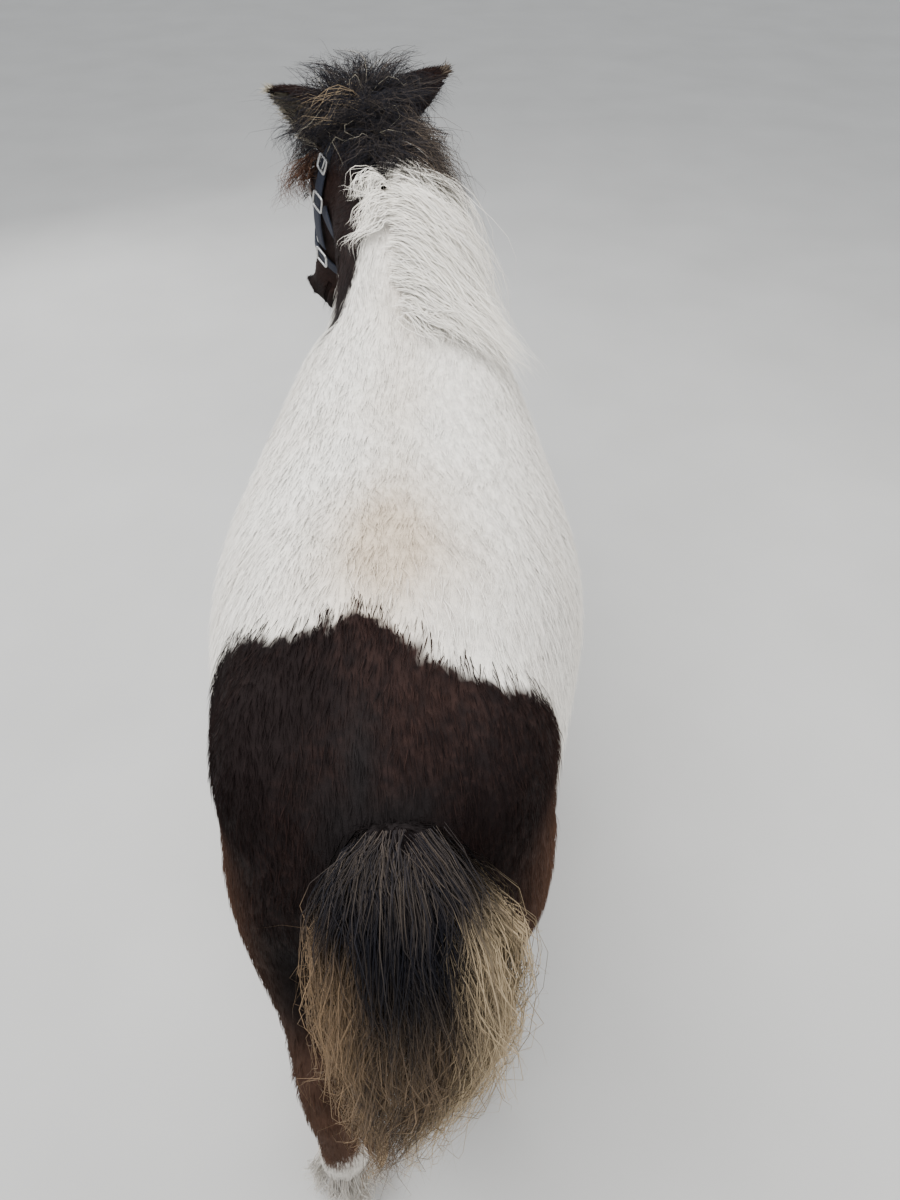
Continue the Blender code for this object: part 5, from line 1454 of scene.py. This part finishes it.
def make_halter(tree, webbing, metal):
    """A plain headcollar of navy webbing with metal squares."""
    nose = in_head(NOSEBAND, -0.046)
    upward = (HEAD_UP - HEAD_ALONG * 0.06).normalized()
    straps = [make_strap("halter_noseband", tree, nose, HEAD_LEFT, upward, (0, 360), webbing)]
    crown = in_head(*CROWN_MIDDLE)
    cheek_way = (crown - in_head(*CHEEK_FOOT)).normalized()
    straps.append(make_strap("halter_crown", tree, crown, HEAD_LEFT, cheek_way, CROWN_SPAN, webbing))
    throat_way = (HEAD_ALONG * THROAT_WAY[0] + HEAD_UP * THROAT_WAY[1]).normalized()
    throat = in_head(*THROAT_MIDDLE)
    straps.append(make_strap("halter_throat", tree, throat, HEAD_LEFT, throat_way, THROAT_SPAN, webbing))
    for word in ("left", "right"):
        make_frame(f"halter_square_{word}", metal)
        make_frame(f"halter_cheek_square_{word}", metal)
    make_frame("halter_square_chin", metal)
    make_frame("halter_buckle", metal, tongue=True)
    return tree_of(*straps)


def new_look(name, rough, metal=0.0):
    """A new material: its nodes, their links and its shader."""
    look = bpy.data.materials.new(name)
    look.use_nodes = True
    nodes, links = look.node_tree.nodes, look.node_tree.links
    shader = nodes["Principled BSDF"]
    shader.inputs["Roughness"].default_value = rough
    shader.inputs["Metallic"].default_value = metal
    return look, nodes, links, shader


def noise(nodes, links, size, detail, place=None, stretch=(1, 1, 1)):
    """A noise texture with features of about this size in metres, stretched along the axes."""
    coordinates = nodes.new("ShaderNodeTexCoord").outputs["Object"] if place is None else place
    mapping = nodes.new("ShaderNodeMapping")
    mapping.inputs["Scale"].default_value = stretch
    links.new(coordinates, mapping.inputs["Vector"])
    texture = nodes.new("ShaderNodeTexNoise")
    texture.inputs["Scale"].default_value = 1 / size
    texture.inputs["Detail"].default_value = detail
    links.new(mapping.outputs["Vector"], texture.inputs["Vector"])
    return texture.outputs["Fac"]


def add_bump(nodes, links, shader, height, strength, distance):
    bump = nodes.new("ShaderNodeBump")
    bump.inputs["Strength"].default_value = strength
    bump.inputs["Distance"].default_value = distance
    links.new(height, bump.inputs["Height"])
    links.new(bump.outputs["Normal"], shader.inputs["Normal"])


def ranged(nodes, links, value, low, high):
    """The noise's middle range spread from one number to another."""
    spread = nodes.new("ShaderNodeMapRange")
    for key, number in (("From Min", 0.25), ("From Max", 0.75), ("To Min", low), ("To Max", high)):
        spread.inputs[key].default_value = number
    links.new(value, spread.inputs["Value"])
    return spread.outputs["Result"]


def tinted_look(name, rough, spread, size):
    """A material coloured by the mesh's own tint, mottled a little darker and lighter."""
    look, nodes, links, shader = new_look(name, rough)
    own = nodes.new("ShaderNodeAttribute")
    own.attribute_name = "tint"
    mottle = ranged(nodes, links, noise(nodes, links, size, 3), 1 - spread, 1 + spread)
    scaled = nodes.new("ShaderNodeVectorMath")
    scaled.operation = "SCALE"
    links.new(own.outputs["Color"], scaled.inputs[0])
    links.new(mottle, scaled.inputs["Scale"])
    links.new(scaled.outputs["Vector"], shader.inputs["Base Color"])
    return look, nodes, links, shader


def hair_look():
    look, nodes, links, shader = tinted_look("hair", 0.55, 0.10, 0.012)
    shader.inputs["Specular IOR Level"].default_value = 0.02
    return look


def skin_look():
    look, nodes, links, shader = tinted_look("skin", 0.75, 0.15, 0.006)
    shader.inputs["Specular IOR Level"].default_value = 0.05
    add_bump(nodes, links, shader, noise(nodes, links, 0.0016, 4), 0.5, 0.0012)
    return look


def eye_look():
    look, nodes, links, shader = tinted_look("eye", 0.12, 0.20, 0.0015)
    shader.inputs["Coat Weight"].default_value = 1.0
    shader.inputs["Coat Roughness"].default_value = 0.02
    return look


def two_tones(nodes, links, shader, share, low, high):
    blend = nodes.new("ShaderNodeMix")
    blend.data_type = "RGBA"
    links.new(share, blend.inputs["Factor"])
    blend.inputs[6].default_value = (*low, 1)
    blend.inputs[7].default_value = (*high, 1)
    links.new(blend.outputs[2], shader.inputs["Base Color"])


def horn_look():
    look, nodes, links, shader = new_look("horn", 0.42)
    streaks = noise(nodes, links, 0.0035, 4, stretch=(1, 1, 0.08))
    two_tones(nodes, links, shader, ranged(nodes, links, streaks, 0, 1), (0.20, 0.105, 0.045), (0.62, 0.45, 0.25))
    add_bump(nodes, links, shader, streaks, 0.35, 0.0008)
    return look


def webbing_look():
    """Woven webbing: slanting ribs across the strap, with a few pale, dusty threads."""
    look, nodes, links, shader = new_look("webbing", 0.78)
    place = nodes.new("ShaderNodeAttribute")
    place.attribute_name = "weave"
    ribs = nodes.new("ShaderNodeTexWave")
    ribs.wave_type = "BANDS"
    ribs.bands_direction = "DIAGONAL"
    ribs.inputs["Scale"].default_value = 190
    ribs.inputs["Distortion"].default_value = 0.6
    links.new(place.outputs["Vector"], ribs.inputs["Vector"])
    add_bump(nodes, links, shader, ribs.outputs["Fac"], 0.7, 0.0009)
    dust = noise(nodes, links, 0.004, 5)
    two_tones(nodes, links, shader, ranged(nodes, links, dust, 0.0, 0.6), (0.005, 0.008, 0.022), (0.014, 0.020, 0.040))
    return look


def metal_look():
    look, nodes, links, shader = new_look("nickel", 0.32, 1.0)
    wear = noise(nodes, links, 0.004, 6)
    two_tones(nodes, links, shader, ranged(nodes, links, wear, 0, 1), (0.40, 0.39, 0.38), (0.66, 0.66, 0.65))
    links.new(ranged(nodes, links, wear, 0.42, 0.22), shader.inputs["Roughness"])
    return look


def add_light(name, place, aim, size, power, colour=(1, 1, 1)):
    light = bpy.data.lights.new(name, "AREA")
    light.shape = "DISK"
    light.size = size
    light.energy = power
    light.color = colour
    lamp = bpy.data.objects.new(name, light)
    bpy.context.scene.collection.objects.link(lamp)
    lamp.location = place
    lamp.rotation_euler = (Vector(aim) - Vector(place)).to_track_quat("-Z", "Y").to_euler()


def make_stage():
    """The floor, the lights and the camera, which looks down on the pony's back from behind."""
    bm = bmesh.new()
    bmesh.ops.create_grid(bm, x_segments=1, y_segments=1, size=30)
    floor = object_from("floor", bm)
    look, nodes, links, shader = new_look("studio_floor", 0.85)
    grain = ranged(nodes, links, noise(nodes, links, 0.4, 4), 0, 1)
    two_tones(nodes, links, shader, grain, (0.46, 0.455, 0.44), (0.51, 0.505, 0.49))
    floor.data.materials.append(look)

    world = bpy.data.worlds.new("studio")
    bpy.context.scene.world = world
    world.use_nodes = True
    world.node_tree.nodes["Background"].inputs["Color"].default_value = (0.93, 0.96, 1.0, 1)
    world.node_tree.nodes["Background"].inputs["Strength"].default_value = 0.95
    add_light("overhead", (0.6, 0.6, 3.2), (0, 0, 0.6), 2.6, 155)
    add_light("side", (-2.6, 0.2, 1.9), (0, 0, 0.6), 1.8, 42, (1.0, 0.97, 0.93))
    add_light("front", (1.8, -2.6, 1.6), (0, 0, 0.7), 1.8, 42)

    lens = bpy.data.cameras.new("camera")
    lens.sensor_fit = "AUTO"
    lens.sensor_width = 36
    lens.lens = 27.03
    camera = bpy.data.objects.new("camera", lens)
    bpy.context.scene.collection.objects.link(camera)
    camera.location = (-0.065, REAR_TO_ORIGIN + 0.38, 1.50)
    camera.rotation_euler = (math.radians(47), 0, math.pi)
    bpy.context.scene.camera = camera


def main():
    make_stage()
    hair, hide = hair_look(), skin_look()
    flesh = make_flesh()
    tree = tree_of(flesh)
    straps = make_halter(tree, webbing_look(), metal_look())
    skin, bare = make_skin(flesh, tree)
    remove(flesh)
    make_coat(skin, bare, straps, hair)
    # The skin takes the coat's colours a little darker: painted shade, so that the gaps between the tufts look like
    # deep fur.
    tint(skin.data, coat_colours(points_of(skin.data), 12) * 0.92)
    skin.data.shade_smooth()
    dress(skin, hide, ("torso", "neck", "head", *LEGS))
    make_mane(tree, hair)
    make_forelock(tree, hair)
    eyes = eye_look()
    for word, side in (("left", 1), ("right", -1)):
        make_ear(word, side, hide, hair)
        make_eye(word, side, tree, eyes)
    make_lashes(tree, hair)
    make_whiskers(tree, hair)
    horn = horn_look()
    for name in LEGS:
        make_feathers(tree, name, hair)
        make_hoof(name, horn)
    make_tail(hair)


main()
